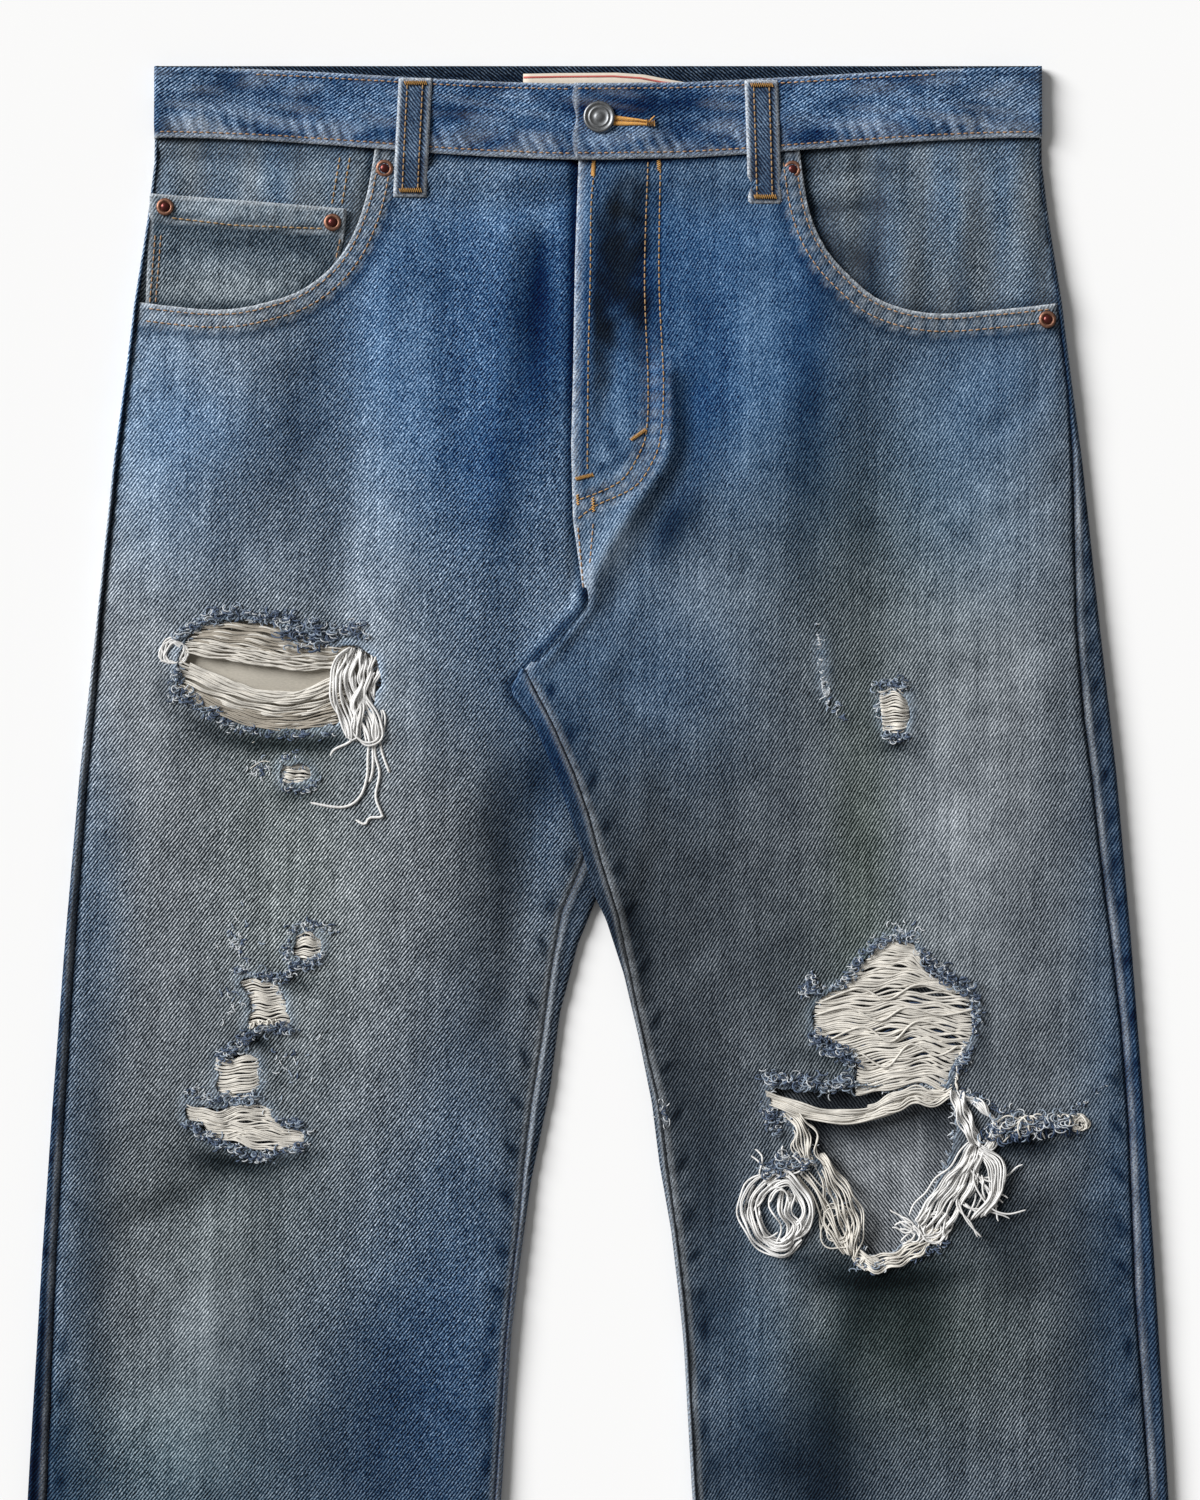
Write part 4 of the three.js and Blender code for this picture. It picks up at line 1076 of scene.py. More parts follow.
coinOutline = [(-233, 67), (-180, 71), (-130.5, 75), (-131.5, 86), (-134, 98), (-137, 112),
               (-160, 128), (-235.5, 129)]
coinTop = [(-233, 67), (-180, 71), (-130.5, 75)]
coinSide = [(-130.5, 75), (-134, 98), (-138, 116)]
coinOuter = [(-233, 67), (-235.5, 126)]
coinHem = [(-233, 81), (-190, 84.5), (-131, 87.5)]
coinSpots = [
    (-190, 76, 40, 4, 26, 4), (-185, 92, 40, 6, -38, 4), (-150, 96, 10, 10, -26),
    (-200, 114, 30, 10, 22), (-170, 106, 16, 8, -14), (-165, 118, 20, 6, 12),
    (-222, 100, 8, 18, -8),
]


def coinHeight(x, down):
    topGap, along = lineDistance(x, down, coinTop)
    sideGap = np.minimum(lineDistance(x, down, coinSide)[0], lineDistance(x, down, coinOuter)[0])
    height = 6.35 + 0.35 * wander(x, down, 19, 6) + 0.5 * bell(topGap, 5)
    height += 0.3 * puckers(along, topGap - 6, 6, 9)
    height += 0.9 * soft((read([(x0, d0) for x0, d0 in coinHem], x) - down) / 2.5)
    height -= 0.4 * bell(topGap - 10.6, 0.9)
    return height - 0.6 * bell(sideGap, 2)


coinMesh = flatPiece("denimCoinPocket", coinOutline, 2.5, coinHeight)
x, down, height = getPlaces(coinMesh)
topGap, along = lineDistance(x, down, coinTop)
sideGap = lineDistance(x, down, coinSide)[0]
scoopGap = lineDistance(x, down, scoopLine[-1])[0]
outerGap = lineDistance(x, down, coinOuter)[0]
coinWorn = 0.9 * bell(topGap, 1.2) + 0.7 * bell(np.minimum(sideGap, outerGap), 1.2)
coinWorn += 0.18 * bell(topGap - 6, 4) * (0.5 + 0.5 * puckers(along, topGap, 40, 9))
coinWorn += 0.35 * bell(topGap - 12.8, 1.0)
# darkening: painted shade under the front's pocket lip and below the hem's lower edge, and darker along the
# hem stitches and near the outer edge
coinDark = 0.35 * bell(scoopGap, 4) + 0.3 * bell(topGap - 15.5, 2.0)
coinDark += 0.3 * bell(topGap - 10.6, 0.9) + 0.3 * bell(outerGap - 4, 2) * (down > 86)
coinTone = paint(x, down, coinSpots, 103) / 255 + 0.03 * wander(x, down, 12, 2)
setDyeWearShade(coinMesh, coinTone, 0.42 - 0.1 * soft((down - 96) / 20), 0.25, coinWorn, coinDark)
coinPocket = addPiece("denimCoinPocket", coinMesh, [denimPocket, denimInside], ["coin_pocket"], 0.9)

bagOutline = [(-92, 54), (-226, 45), (-232, 100), (-244, 292), (-238, 322), (-222, 333), (-206, 338),
              (-128, 338), (-112, 332), (-100, 320)]


def bagHeight(x, down):
    sag = 0.5 * bell(lineDistance(x, down, [(-205, 322), (-150, 318), (-118, 300)])[0], 5)
    return 3.6 + 0.4 * wander(x, down, 14, 12) + sag


bagMesh = flatPiece("cottonPocketBag", bagOutline, 5, bagHeight)
pocketBag = addPiece("cottonPocketBag", bagMesh, [bagCotton], ["pocket_bag_right"], 0.8)


def backPocketOutline(side):
    return mirrored([(44, 128), (186, 118), (178, 262), (112, 284), (50, 266)], side)


def makeBackPocket(side, name, node, material):
    mesh = flatPiece(name, backPocketOutline(side), 6, lambda x, down: np.zeros(np.shape(x)), True)
    x, down, height = getPlaces(mesh)
    gap = nearestOn(backPocketOutline(side), x, down)[2]
    setDyeWearShade(mesh, 0.36 + 0.04 * wander(x, down, 24, 5), 0.4, 0.05, 0.6 * bell(gap, 2),
           0.2 * bell(gap - 7, 1.5))
    return addPiece(name, mesh, [material, denimInside], [node], 1.0)


backPocketRight = makeBackPocket(-1, "denimBackPocketRight", "back_pocket_right", denimRight)
backPocketLeft = makeBackPocket(1, "denimBackPocketLeft", "back_pocket_left", denimLeft)

print("waistband, loops and label")
band = {"columns": 540, "rows": 22, "thickness": 1.9, "leftEnd": -12.5, "rightEnd": 16, "noseRadius": 2.4,
        "level": 7.9, "overlap": 10.1}


# Ring of the waistband: stops along its length in mm, with x and the height of its outer face
def bandRing():
    half, radius = garment["waistHalf"], band["noseRadius"]
    top, low = band["level"], 1.3
    ring = [(band["leftEnd"], band["overlap"]), (20, band["overlap"]), (30, 8.9), (40, top + 0.1),
            (half - radius, top)]
    middle, reach = (top + low) / 2, (top - low) / 2
    turn = [(half - radius + radius * math.sin(a), middle + reach * math.cos(a))
            for a in np.linspace(0, math.pi, 9)[1:-1]]
    ring += turn + [(half - radius, low), (radius - half, low)]
    ring += [(-px, pz) for px, pz in reversed(turn)] + [(radius - half, top), (band["rightEnd"], top)]
    stops = [0.0]
    for (x0, z0), (x1, z1) in zip(ring, ring[1:]):
        stops.append(stops[-1] + math.hypot(x1 - x0, z1 - z0))
    return ring, stops


bandPath, bandStops = bandRing()
bandFold = bandStops[-1]


def bandSurface(run, share):
    x = np.interp(run, bandStops, [px for px, pz in bandPath])
    height = np.interp(run, bandStops, [pz for px, pz in bandPath])
    front = soft((height - 3.4) / 3.0)
    top = front * frontTop(x)
    bottom = garment["bandHeight"] + front * (bandBottom(x) - garment["bandHeight"])
    down = top + (bottom - top) * share
    edge = np.minimum(share, 1 - share) * garment["bandHeight"]
    bulge = 0.5 * soft(edge / 3) - 0.35 * bell(edge - 3.0, 0.9)
    low = (1 - share) * garment["bandHeight"]
    bulge = bulge + 0.35 * puckers(run + 0.6 * low, low - 7, 6, 6.5)
    bulge = bulge + 0.5 * puckers(run + 0.8 * low, low - 12, 9, 23)
    bulge = bulge + 0.16 * puckers(run + 5, share * 38 - 4, 6, 11)
    bulge = bulge + 0.4 * wander(0.4 * run, down, 5, 41)
    x = x + 1.1 * np.sin(down / 3.6) * soft(1 - run / 6) * front
    return x, down, height + bulge * np.where(height > 4, 1, 0) + 0.3 * wander(x, down, 28, 7) * (height > 4)


# Height of the band's outer face at a place on the front
def bandTopHeight(x, down):
    x, down = np.asarray(x, float), np.asarray(down, float)
    share = (down - frontTop(x)) / (bandBottom(x) - frontTop(x))
    left = np.interp(x, [px for px, pz in bandPath[:5]], bandStops[:5])
    right = np.interp(x, [bandPath[-2][0], bandPath[-1][0]], bandStops[-2:])
    run = np.where(x >= band["leftEnd"], left, right)
    return bandSurface(run, np.clip(share, 0, 1))[2]


def bandShape(u, v):
    # more points on the front than on the hidden back
    run = np.interp(u, [0, 0.36, 0.40, 0.56, 0.60, 1], [0, 238, 252, 702, 716, bandFold])
    return bandSurface(run, v)


bandMesh = gridMesh("denimWaistband", band["columns"], band["rows"], bandShape)
x, down, height = getPlaces(bandMesh)
topGap = np.abs(down - frontTop(x))
lowGap = np.abs(bandBottom(x) - down)
ropePhase = 2 * np.pi * (x + 0.5 * lowGap) / 7.5 + 1.6 * np.sin(x / 21) + 0.8 * np.sin(down / 5)
ropeWave = 0.5 + 0.5 * np.sin(ropePhase)
ropeWave = np.clip(ropeWave * (0.75 + 0.75 * wander(x, down, 9, 21)), 0, 1)
fromTop = down - frontTop(x)
# Wear on the waistband: x, distance from its top edge, the two reaches and amount, and any turn
bandSpots = [
    (-205, 26, 30, 6, 26, 4), (-222, 12, 10, 8, 16), (-206, 14, 24, 5, -24, -20),
    (-160, 12, 34, 6, -16), (-150, 26, 34, 5, 18, 2), (-120, 22, 8, 8, 14), (-126, 30, 14, 5, 8),
    (-94, 20, 10, 14, -8), (-70, 18, 16, 10, -22), (-52, 24, 12, 8, 6), (-34, 14, 14, 10, 8),
    (-20, 26, 8, 6, 12), (14, 12, 26, 7, -56), (-6, 16, 5, 9, -30), (0, 29, 10, 4, 56),
    (34, 26, 18, 5, 10, 4), (52, 14, 18, 9, -30), (66, 24, 10, 8, -12), (92, 20, 6, 16, -16),
    (112, 14, 18, 8, 6), (125, 28, 20, 4, 10), (150, 10, 24, 5, -10), (160, 24, 24, 6, 12),
    (190, 12, 20, 6, -12), (214, 22, 16, 8, 26), (226, 10, 6, 10, -10),
]
bandWorn = 0.6 * bell(topGap, 0.9) * (np.abs(x) < 190) + 1.1 * bell(lowGap, 1.5)
bandWorn += 0.18 * ropeWave**3 * bell(lowGap - 9, 4)
bandWorn += 0.3 * ropeWave**2 * bell(lowGap - 4, 2)
crinkle = wander(0.4 * x, down, 4.5, 42)
bandWorn += 0.22 * np.clip(crinkle, 0, 1) * soft(1.6 - lowGap / 14)
rubbed = wander(0.3 * x + 0.5 * lowGap, down, 2.8, 31) + 0.4 * wander(x, down, 13, 32)
bandWorn += 0.16 * np.clip(rubbed, 0, 1)
bandWorn += 0.6 * bell(np.abs(x - band["leftEnd"] - 0.8), 1.2) * (height > 8.8)
bandDark = 0.34 * (1 - ropeWave) ** 2 * bell(lowGap - 8, 5) + 0.26 * np.clip(-crinkle, 0, 1)
bandDark += 0.3 * bell(topGap - 3.0, 0.9)
bandDark += 0.25 * bell(lowGap - 3.0, 0.9)
bandTone = paint(x, fromTop, bandSpots, 86) / 255 + 0.025 * wander(0.5 * x, down, 7, 8)
bandTone += 0.03 * wander(0.35 * x + 0.4 * lowGap, down, 2.6, 3)
bandBlue = 0.95 - 0.15 * soft((np.abs(x) - 150) / 60)
setDyeWearShade(bandMesh, bandTone, bandBlue, 0.0, bandWorn, bandDark)
waistband = addPiece("denimWaistband", bandMesh, [denimBand, bandInside], ["waistband"],
                     band["thickness"])

loops = {
    "loop_front_right": {"top": -103.5, "bottom": -106.5, "downs": (7.3, 69)},
    "loop_front_left": {"top": 76, "bottom": 78, "downs": (8.3, 72.5)},
    "loop_back_right": {"top": -158.7, "bottom": -158.7, "downs": (0.5, 56)},
    "loop_back_centre": {"top": -8.7, "bottom": -8.7, "downs": (0.5, 56)},
    "loop_back_left": {"top": 141.3, "bottom": 141.3, "downs": (0.5, 56)},
}
loopWidth = 17.4
frontLoops = [node for node in loops if "front" in node]


def loopPoint(loop, u, v, onTop):
    top, bottom = loop["downs"]
    down = top + (bottom - top) * v
    x = loop["top"] + (loop["bottom"] - loop["top"]) * v + loopWidth * u
    if not onTop:
        return x, down, np.zeros(np.shape(u))
    level = 9.9 + 0.5 * np.sin(np.pi * np.clip((v - 0.08) / 0.8, 0, 1)) - 1.3 * soft((down - 48) / 12)
    edge = np.minimum(u, 1 - u) * loopWidth
    level = level - 0.8 * soft(1 - edge / 1.6) - 0.35 * bell(edge - 3.4, 0.8)
    ends = np.minimum(v, 1 - v) * (bottom - top)
    return x, down, level - 0.9 * soft(1 - ends / 2.0) + 0.15 * wander(x, down, 6, 4)


def makeLoop(node, loop):
    onTop = node in frontLoops

    def shape(u, v):
        return loopPoint(loop, u if onTop else 1 - u, v, onTop)
    name = pieceName("denim", node)
    mesh = gridMesh(name, *((22, 70) if onTop else (8, 24)), shape)
    x, down, height = getPlaces(mesh)
    top, bottom = loop["downs"]
    share = (down - top) / (bottom - top)
    across = x - loop["top"] - (loop["bottom"] - loop["top"]) * share
    edge = np.abs(np.abs(across - loopWidth / 2) - loopWidth / 2)
    ends = np.minimum(down - top, bottom - down)
    worn = 1.6 * bell(edge, 1.3) + 1.2 * bell(ends, 1.3) + 0.04
    dark = 0.45 * bell(edge - 4.4, 1.2) + 0.2 * (down > 48)
    setDyeWearShade(mesh, 0.29 + 0.05 * wander(x, down, 9, 3), 0.7, 0, worn, dark)
    return addPiece(name, mesh, [denimLoop, denimInside], [node], 1.2)


loopPieces = {node: makeLoop(node, loop) for node, loop in loops.items()}


def labelHeight(x, down):
    return 3.9 + 0.15 * wander(x, down, 18, 3)


labelShape = [(-39, 4.2), (-20, 3.8), (10, 3.6), (24, 4.6), (36, 7), (47.5, 9), (47.5, 28), (-39, 28)]
labelMesh = flatPiece("bareLabel", labelShape, 4, labelHeight)
label = addPiece("bareLabel", labelMesh, [labelTape], ["label"], 0.5)
edgeShape = [(-38.8, 5.6), (-20, 5.2), (8, 5.0), (22, 5.9), (34, 8.2), (47.3, 9.6), (47.3, 10.6), (34, 9.2),
             (22, 6.9), (8, 6.0), (-20, 6.2), (-38.8, 6.6)]
edgeMesh = flatPiece("labelRedEdge", edgeShape, 4, lambda x, down: labelHeight(x, down) + 0.12)
addPiece("labelRedEdge", edgeMesh, [labelEdge], [], 0.1)

print("button and rivets")
buttonPlace = {"x": 0.5, "down": 28, "level": 10.6}


# A round metal piece spun from its profile of (radius, height)
def spunPiece(name, profile, x, down, level, material, slotName, node, steps=48):
    bm = bmesh.new()
    verts = [bm.verts.new((radius * mm, 0, height * mm)) for radius, height in profile]
    edges = [bm.edges.new(pair) for pair in zip(verts, verts[1:])]
    bmesh.ops.spin(bm, geom=verts + edges, cent=(0, 0, 0), axis=(0, 0, 1), angle=2 * math.pi,
                   steps=steps, use_merge=True)
    bmesh.ops.remove_doubles(bm, verts=bm.verts, dist=0.00001)
    bmesh.ops.recalc_face_normals(bm, faces=bm.faces)
    bmesh.ops.translate(bm, verts=bm.verts, vec=(x * mm, waistY - down * mm, level * mm))
    mesh = bpy.data.meshes.new(name)
    bm.to_mesh(mesh)
    bm.free()
    return addPiece(name, mesh, [material], [node] if node else [])


buttonProfile = [(0, -2), (2.2, -2), (2.2, 0.3), (7.2, 0.3), (8.0, 0.8), (8.2, 1.5), (7.9, 2.1), (7.2, 2.35),
                 (6.6, 2.1), (6.2, 1.7), (5.4, 1.75), (5.1, 2.0), (4.7, 2.0), (4.4, 1.7), (2.4, 1.8),
                 (1.9, 2.1), (1.2, 2.25), (0, 2.3)]
spunPiece("steelButton", buttonProfile, *buttonPlace.values(), buttonSteel, "button_metal", "button", 64)
rivetProfile = [(0, 0), (4.3, 0), (4.6, 0.3), (4.3, 0.8), (3.4, 1.05), (2.9, 0.95), (2.7, 0.6), (0, 0.5)]
rivetDome = [(0, 0.4), (2.4, 0.4), (2.3, 1.1), (1.7, 1.6), (0.9, 1.9), (0, 2.0)]
rivetPlaces = {
    "rivet_pocket_right": (-111, 54), "rivet_coin_outer": (-225, 74), "rivet_coin_inner": (-138, 82),
    "rivet_pocket_left": (101, 54.5), "rivet_side_left": (233.5, 132.5),
}
for node, (rx, rd) in rivetPlaces.items():
    name = pieceName("copper", node)
    spunPiece(name, rivetProfile, rx, rd, 7.3, rivetCopper, "rivet_metal", node, 32)
    spunPiece(name + "Dome", rivetDome, rx, rd, 7.3, rivetDark, "rivet_metal", None, 24)

print("threads")


# Threads as thin tubes: each strand is a list of (x, down, height) points
def threadMesh(name, strands, radius, taper=0.55, sides=1):
    curve = bpy.data.curves.new(name, "CURVE")
    curve.dimensions = "3D"
    curve.bevel_depth = radius * mm
    curve.bevel_resolution = sides
    curve.use_fill_caps = True
    for strand in strands:
        spline = curve.splines.new("POLY")
        spline.points.add(len(strand) - 1)
        flat = []
        for px, pd, pz in strand:
            flat += [px * mm, waistY - pd * mm, max(pz, radius) * mm, 1]
        spline.points.foreach_set("co", flat)
        spline.points[0].radius = taper
        spline.points[-1].radius = taper
    holder = bpy.data.objects.new(name, curve)
    bpy.context.scene.collection.objects.link(holder)
    bpy.context.view_layer.update()
    shown = holder.evaluated_get(bpy.context.evaluated_depsgraph_get())
    mesh = bpy.data.meshes.new_from_object(shown)
    bpy.data.objects.remove(holder)
    bpy.data.curves.remove(curve)
    mesh.materials.clear()
    mesh.name = name
    return mesh


def threadPiece(name, strands, radius, material, nodes=(), taper=0.55, sides=1):
    return addPiece(name, threadMesh(name, strands, radius, taper, sides), [material], list(nodes))


# Stitches along a line of (x, down) points on a surface
def stitchRun(line, heightAt, length=2.6, gap=1.0, raised=0.22):
    stops = lineStops(line)
    strands = []
    run = 0.6
    while run + length < stops[-1]:
        marks = run + length * np.array([0, 0.15, 0.5, 0.85, 1])
        px, pd = placeOn(line, stops, marks)
        pz = heightAt(px, pd) + np.array([-0.25, raised * 0.6, raised, raised * 0.6, -0.25])
        strands.append(list(zip(px, pd, pz)))
        run += length + gap
    return strands


def offsetLine(line, distance):
    made = []
    for index, (x0, d0) in enumerate(line):
        xa, da = line[max(index - 1, 0)]
        xb, db = line[min(index + 1, len(line) - 1)]
        length = math.hypot(xb - xa, db - da)
        made.append((x0 - distance * (db - da) / length, d0 + distance * (xb - xa) / length))
    return made


def rightSurface(px, pd):
    return frontHeight(-1, px, pd)


def leftSurface(px, pd):
    return frontHeight(1, px, pd)


tanStitches, goldenStitches = [], []
for line in flyStitch:
    goldenStitches += stitchRun(line, leftSurface, 2.6, 0.8, 0.35)
flyInner = smoothLine([(-2, 56), (-3.6, 74), (-4, 110), (-5, 150), (-5.5, 200), (-5.5, 212)])
goldenStitches += stitchRun(flyInner, leftSurface)
tanStitches += stitchRun([(-10.5, 240), (-7.5, 274)], leftSurface)
tanStitches += stitchRun([(-2.5, 238), (-4.5, 262)], leftSurface)
for side, surface in ((-1, rightSurface), (1, leftSurface)):
    for offset in scoopRows:
        line = offsetLine(scoopLine[side], offset * side)
        edge = [(px, pd) for px, pd in line if pd > 50 and abs(px) < read(outerEdge, pd) - 4]
        tanStitches += stitchRun(edge, surface)
goldenStitches += stitchRun([(-222, 79.6), (-190, 83.4), (-160, 84.6), (-143, 85.2)], coinHeight)
for offset in (2.4, 5.4):
    line = [(coinOuter[0][0] + offset + 0.4, 88), (coinOuter[1][0] + offset, 125)]
    tanStitches += stitchRun(line, coinHeight)
tanStitches += stitchRun([(-134, 90), (-136.5, 102)], coinHeight)
for x0 in (-134.2, -129):
    goldenStitches += stitchRun([(x0, 47.5), (x0 - 4.4, 73)], facingHeight(-1))
for share in (0.075, 0.92):
    for x0, x1 in ((-228, -14), (-11, 229)):
        if share < 0.5:
            x0, x1 = max(x0, -178), min(x1, 178)
        xs = np.linspace(x0, x1, 60)
        line = [(px, float(frontTop(px) + (bandBottom(px) - frontTop(px)) * share)) for px in xs]
        tanStitches += stitchRun(line, bandTopHeight, 2.2, 1.2, 0.3)
for node in frontLoops:
    loop = loops[node]
    for across in (0.27, 0.73):
        marks = np.linspace(0.05, 0.95, 12)
        line = [tuple(float(value) for value in loopPoint(loop, across, v, True)[:2]) for v in marks]
        top, bottom = loop["downs"]

        def onLoop(px, pd, loop=loop, across=across, top=top, bottom=bottom):
            return loopPoint(loop, across, (pd - top) / (bottom - top), True)[2]
        goldenStitches += stitchRun(line, onLoop, 2.4, 0.8, 0.35)
threadPiece("tanStitching", tanStitches, 0.36, stitchTan)
threadPiece("goldenStitching", goldenStitches, 0.38, stitchGolden)


# Bar tacks: close zigzags of thread across a short line
def barTack(x0, d0, x1, d1, width, heightAt, turns=15):
    length = math.hypot(x1 - x0, d1 - d0)
    nx, nd = -(d1 - d0) / length, (x1 - x0) / length
    strand = []
    for index in range(turns * 2):
        share = index / (turns * 2 - 1)
        offset = width / 2 * (1 if index % 2 else -1)
        px, pd = x0 + (x1 - x0) * share + nx * offset, d0 + (d1 - d0) * share + nd * offset
        strand.append((px, pd, float(heightAt(px, pd)) + 0.35))
    return strand


def flatAt(level):
    return lambda px, pd: level


orangeTacks = [
    barTack(17, 195.2, 25, 189.8, 1.7, leftSurface), barTack(-11.6, 215.4, -2.6, 213.2, 1.7, leftSurface),
    barTack(-10.8, 223.5, -10.4, 229, 1.2, leftSurface, 5),
    barTack(-2.7, 225, -2.3, 232.5, 1.3, leftSurface, 6), barTack(-2.2, 50, -2.6, 58, 1.8, leftSurface),
    barTack(31.5, 49.5, 31.8, 55, 1.6, leftSurface, 6),
]
for node in frontLoops:
    loop = loops[node]
    for v in (0.045, 0.945):
        left = loopPoint(loop, 0.18, v, True)
        right = loopPoint(loop, 0.84, v, True)
        orangeTacks.append(barTack(left[0], left[1], right[0], right[1], 2.0,
                                   flatAt(float(loopPoint(loop, 0.5, v, True)[2]) + 0.1), 12))
# Keyhole buttonhole: thread crosses all round the slit beside the button
for index in range(34):
    share = index / 33
    px = 8 + 17 * share
    half = 2.6 - 1.3 * share
    for sign in (-1, 1):
        centre = 29.6 + 1.2 * share
        base = float(bandTopHeight(px, centre)) + 0.1
        orangeTacks.append([(px - 0.3, centre + sign * 0.2, base),
                            (px, centre + sign * half * 0.55, base + 0.5),
                            (px + 0.3, centre + sign * half, base)])
orangeTacks.append(barTack(25, 30.8, 29.5, 31, 3.2, flatAt(base), 6))
orangeTacks.append([(26, 30.5, base), (28, 28.6, base + 0.6), (29.4, 27.2, base + 0.3)])
threadPiece("orangeTacks", orangeTacks, 0.42, stitchOrange)


# Points evenly along a smooth line through a few given points
def evenPoints(points, count):
    line = smoothLine(points, 6)
    stops = lineStops(line)
    marks = np.linspace(0, stops[-1], count)
    return placeOn(line, stops, marks)


# A bundle of threads that runs between two guide lines. wave and period make them wavy
# together, stray shifts each one, and rise lifts their middles.
def bundle(first, last, count, level, seed, wave=0.5, period=11.0, phaseTurn=4.0, points=30, rise=0.8,
           stray=0.6, ends=0.0, depth=0.8):
    toss = random.Random(seed)
    x0, d0 = evenPoints(first, points)
    x1, d1 = evenPoints(last, points)
    share = np.linspace(0, 1, points)
    strands = []
    for index in range(count):
        place = (index + toss.uniform(-stray, stray)) / max(count - 1, 1)
        px, pd = x0 + (x1 - x0) * place, d0 + (d1 - d0) * place
        run = np.concatenate([[0], np.cumsum(np.hypot(np.diff(px), np.diff(pd)))])
        alongX, alongDown = np.gradient(px), np.gradient(pd)
        size = np.hypot(alongX, alongDown) + 1e-9
        phase = place * phaseTurn + toss.uniform(-0.35, 0.35)
        swing = wave * np.sin(2 * np.pi * run / (period * toss.uniform(0.9, 1.1)) + phase)
        swing = swing + toss.uniform(-0.4, 0.4) * stray * np.sin(np.pi * share * toss.uniform(1, 3))
        px, pd = px - swing * alongDown / size, pd + swing * alongX / size
        reach = toss.uniform(-ends, ends)
        px[0], pd[0] = px[0] + reach, pd[0] + reach * 0.3
        px[-1], pd[-1] = px[-1] + toss.uniform(-ends, ends), pd[-1] + toss.uniform(-ends, ends)
        height = level + rise * np.sin(np.pi * share) + toss.uniform(-0.5, 0.5) * depth
        height = height + 0.5 * depth * np.cos(2 * np.pi * run / period + phase)
        strands.append(list(zip(px, pd, height)))
    return strands


# Threads drawn one by one: each through its own given points
def drawn(lines, level, rise=1.0, points=30):
    strands = []
    for line in lines:
        px, pd = evenPoints(line, points)
        share = np.linspace(0, 1, points)
        strands.append(list(zip(px, pd, level + rise * np.sin(np.pi * share) ** 0.5)))
    return strands


# A ball of loose loops
def coil(cx, cd, rx, rd, count, level, seed, rise=4.0, least=0.45, turn=(2.5, 5.5)):
    toss = random.Random(seed)
    strands = []
    for index in range(count):
        size = toss.uniform(least, 1.0)
        start, sweep = toss.uniform(0, 2 * math.pi), toss.uniform(*turn) * toss.choice((-1, 1))
        offX, offDown = toss.uniform(-0.18, 0.18) * rx, toss.uniform(-0.18, 0.18) * rd
        grow = toss.uniform(-0.25, 0.25)
        angles = start + sweep * np.linspace(0, 1, 20)
        reach = size * (1 + grow * np.linspace(-0.5, 0.5, 20))
        bump = 0.12 * np.sin(angles * 3 + start)
        px = cx + offX + rx * (reach + bump) * np.cos(angles)
        pd = cd + offDown + rd * (reach + bump) * np.sin(angles)
        height = level + rise * (1.05 - size)
        height = height + toss.uniform(0, 0.35) * rise * np.sin(np.pi * np.linspace(0, 1, 20))
        strands.append(list(zip(px, pd, height)))
    return strands


# A loose curly thread that starts at a point and wanders off
def looseThread(toss, x, down, level, heading, length, curl, rise=0.6, points=12, bottom=5.5):
    strand = []
    turnRate = toss.uniform(-curl, curl)
    height = level
    climb = toss.uniform(0, rise)
    for index in range(points):
        strand.append((x, down, height))
        step = length / (points - 1)
        heading += turnRate * step + toss.uniform(-0.2, 0.2)
        if toss.random() < 0.15:
            turnRate = toss.uniform(-curl, curl)
        x += step * math.cos(heading)
        down += step * math.sin(heading)
        height = max(bottom, height + climb * step * 0.25)
        climb = climb - 0.16 * step + toss.uniform(-0.12, 0.12)
    return strand


# A spray of loose threads from points near a line, heading one way (degrees, 90 is down)
def spray(line, count, length, heading, spread, level, seed, curl=0.1, near=1.5, points=14):
    toss = random.Random(seed)
    xs, ds = evenPoints(line, 40)
    strands = []
    for index in range(count):
        spot = toss.randrange(40)
        strands.append(looseThread(
            toss, xs[spot] + toss.uniform(-near, near), ds[spot] + toss.uniform(-near, near),
            level + toss.uniform(0, 1.5), math.radians(heading + toss.uniform(-spread, spread)),
            length * toss.uniform(0.5, 1.1), curl, 0.7, points, level - 0.5))
    return strands


# Small curls of torn yarn scattered along a line
def curls(line, count, reach, level, seed):
    toss = random.Random(seed)
    stops = lineStops(line)
    strands = []
    for index in range(count):
        run = stops[-1] * toss.random()
        px, pd = placeOn(line, stops, run)
        px += toss.gauss(0, 0.42) * reach
        pd += toss.gauss(0, 0.42) * reach
        size = toss.uniform(0.6, 0.7 + 0.42 * reach)
        start, sweep = toss.uniform(0, 2 * math.pi), toss.uniform(1.2, 4.6) * toss.choice((-1, 1))
        slant, lift0 = toss.uniform(0.3, 1.0), toss.uniform(0, 0.5) * reach
        angles = start + sweep * np.linspace(0, 1, 6)
        strands.append(list(zip(px + size * np.cos(angles), pd + slant * size * np.sin(angles),
                                level + lift0 + 0.45 * size * (1 + np.sin(angles * 0.8)))))
    return strands


# A roll of lint along a line: short loops wound round it
def lintRoll(line, count, radius, level, seed, flatten=0.7):
    toss = random.Random(seed)
    stops = lineStops(line)
    strands = []
    for index in range(count):
        run = stops[-1] * toss.random()
        reach = radius * toss.uniform(0.35, 1.1)
        start = toss.uniform(0, 2 * math.pi)
        drift = toss.uniform(-3, 3)
        sweep = toss.uniform(2.5, 5.5)
        strand = []
        for step in range(8):
            angle = start + step / 7 * sweep
            place = run + drift * step / 7 + 0.8 * reach * math.sin(angle * 0.7)
            px, pd = placeOn(line, stops, place)
            strand.append((px + 0.4 * reach * math.sin(angle * 1.3), pd + reach * math.cos(angle),
                           level + reach * flatten * (1 + math.sin(angle))))
        strands.append(strand)
    return strands


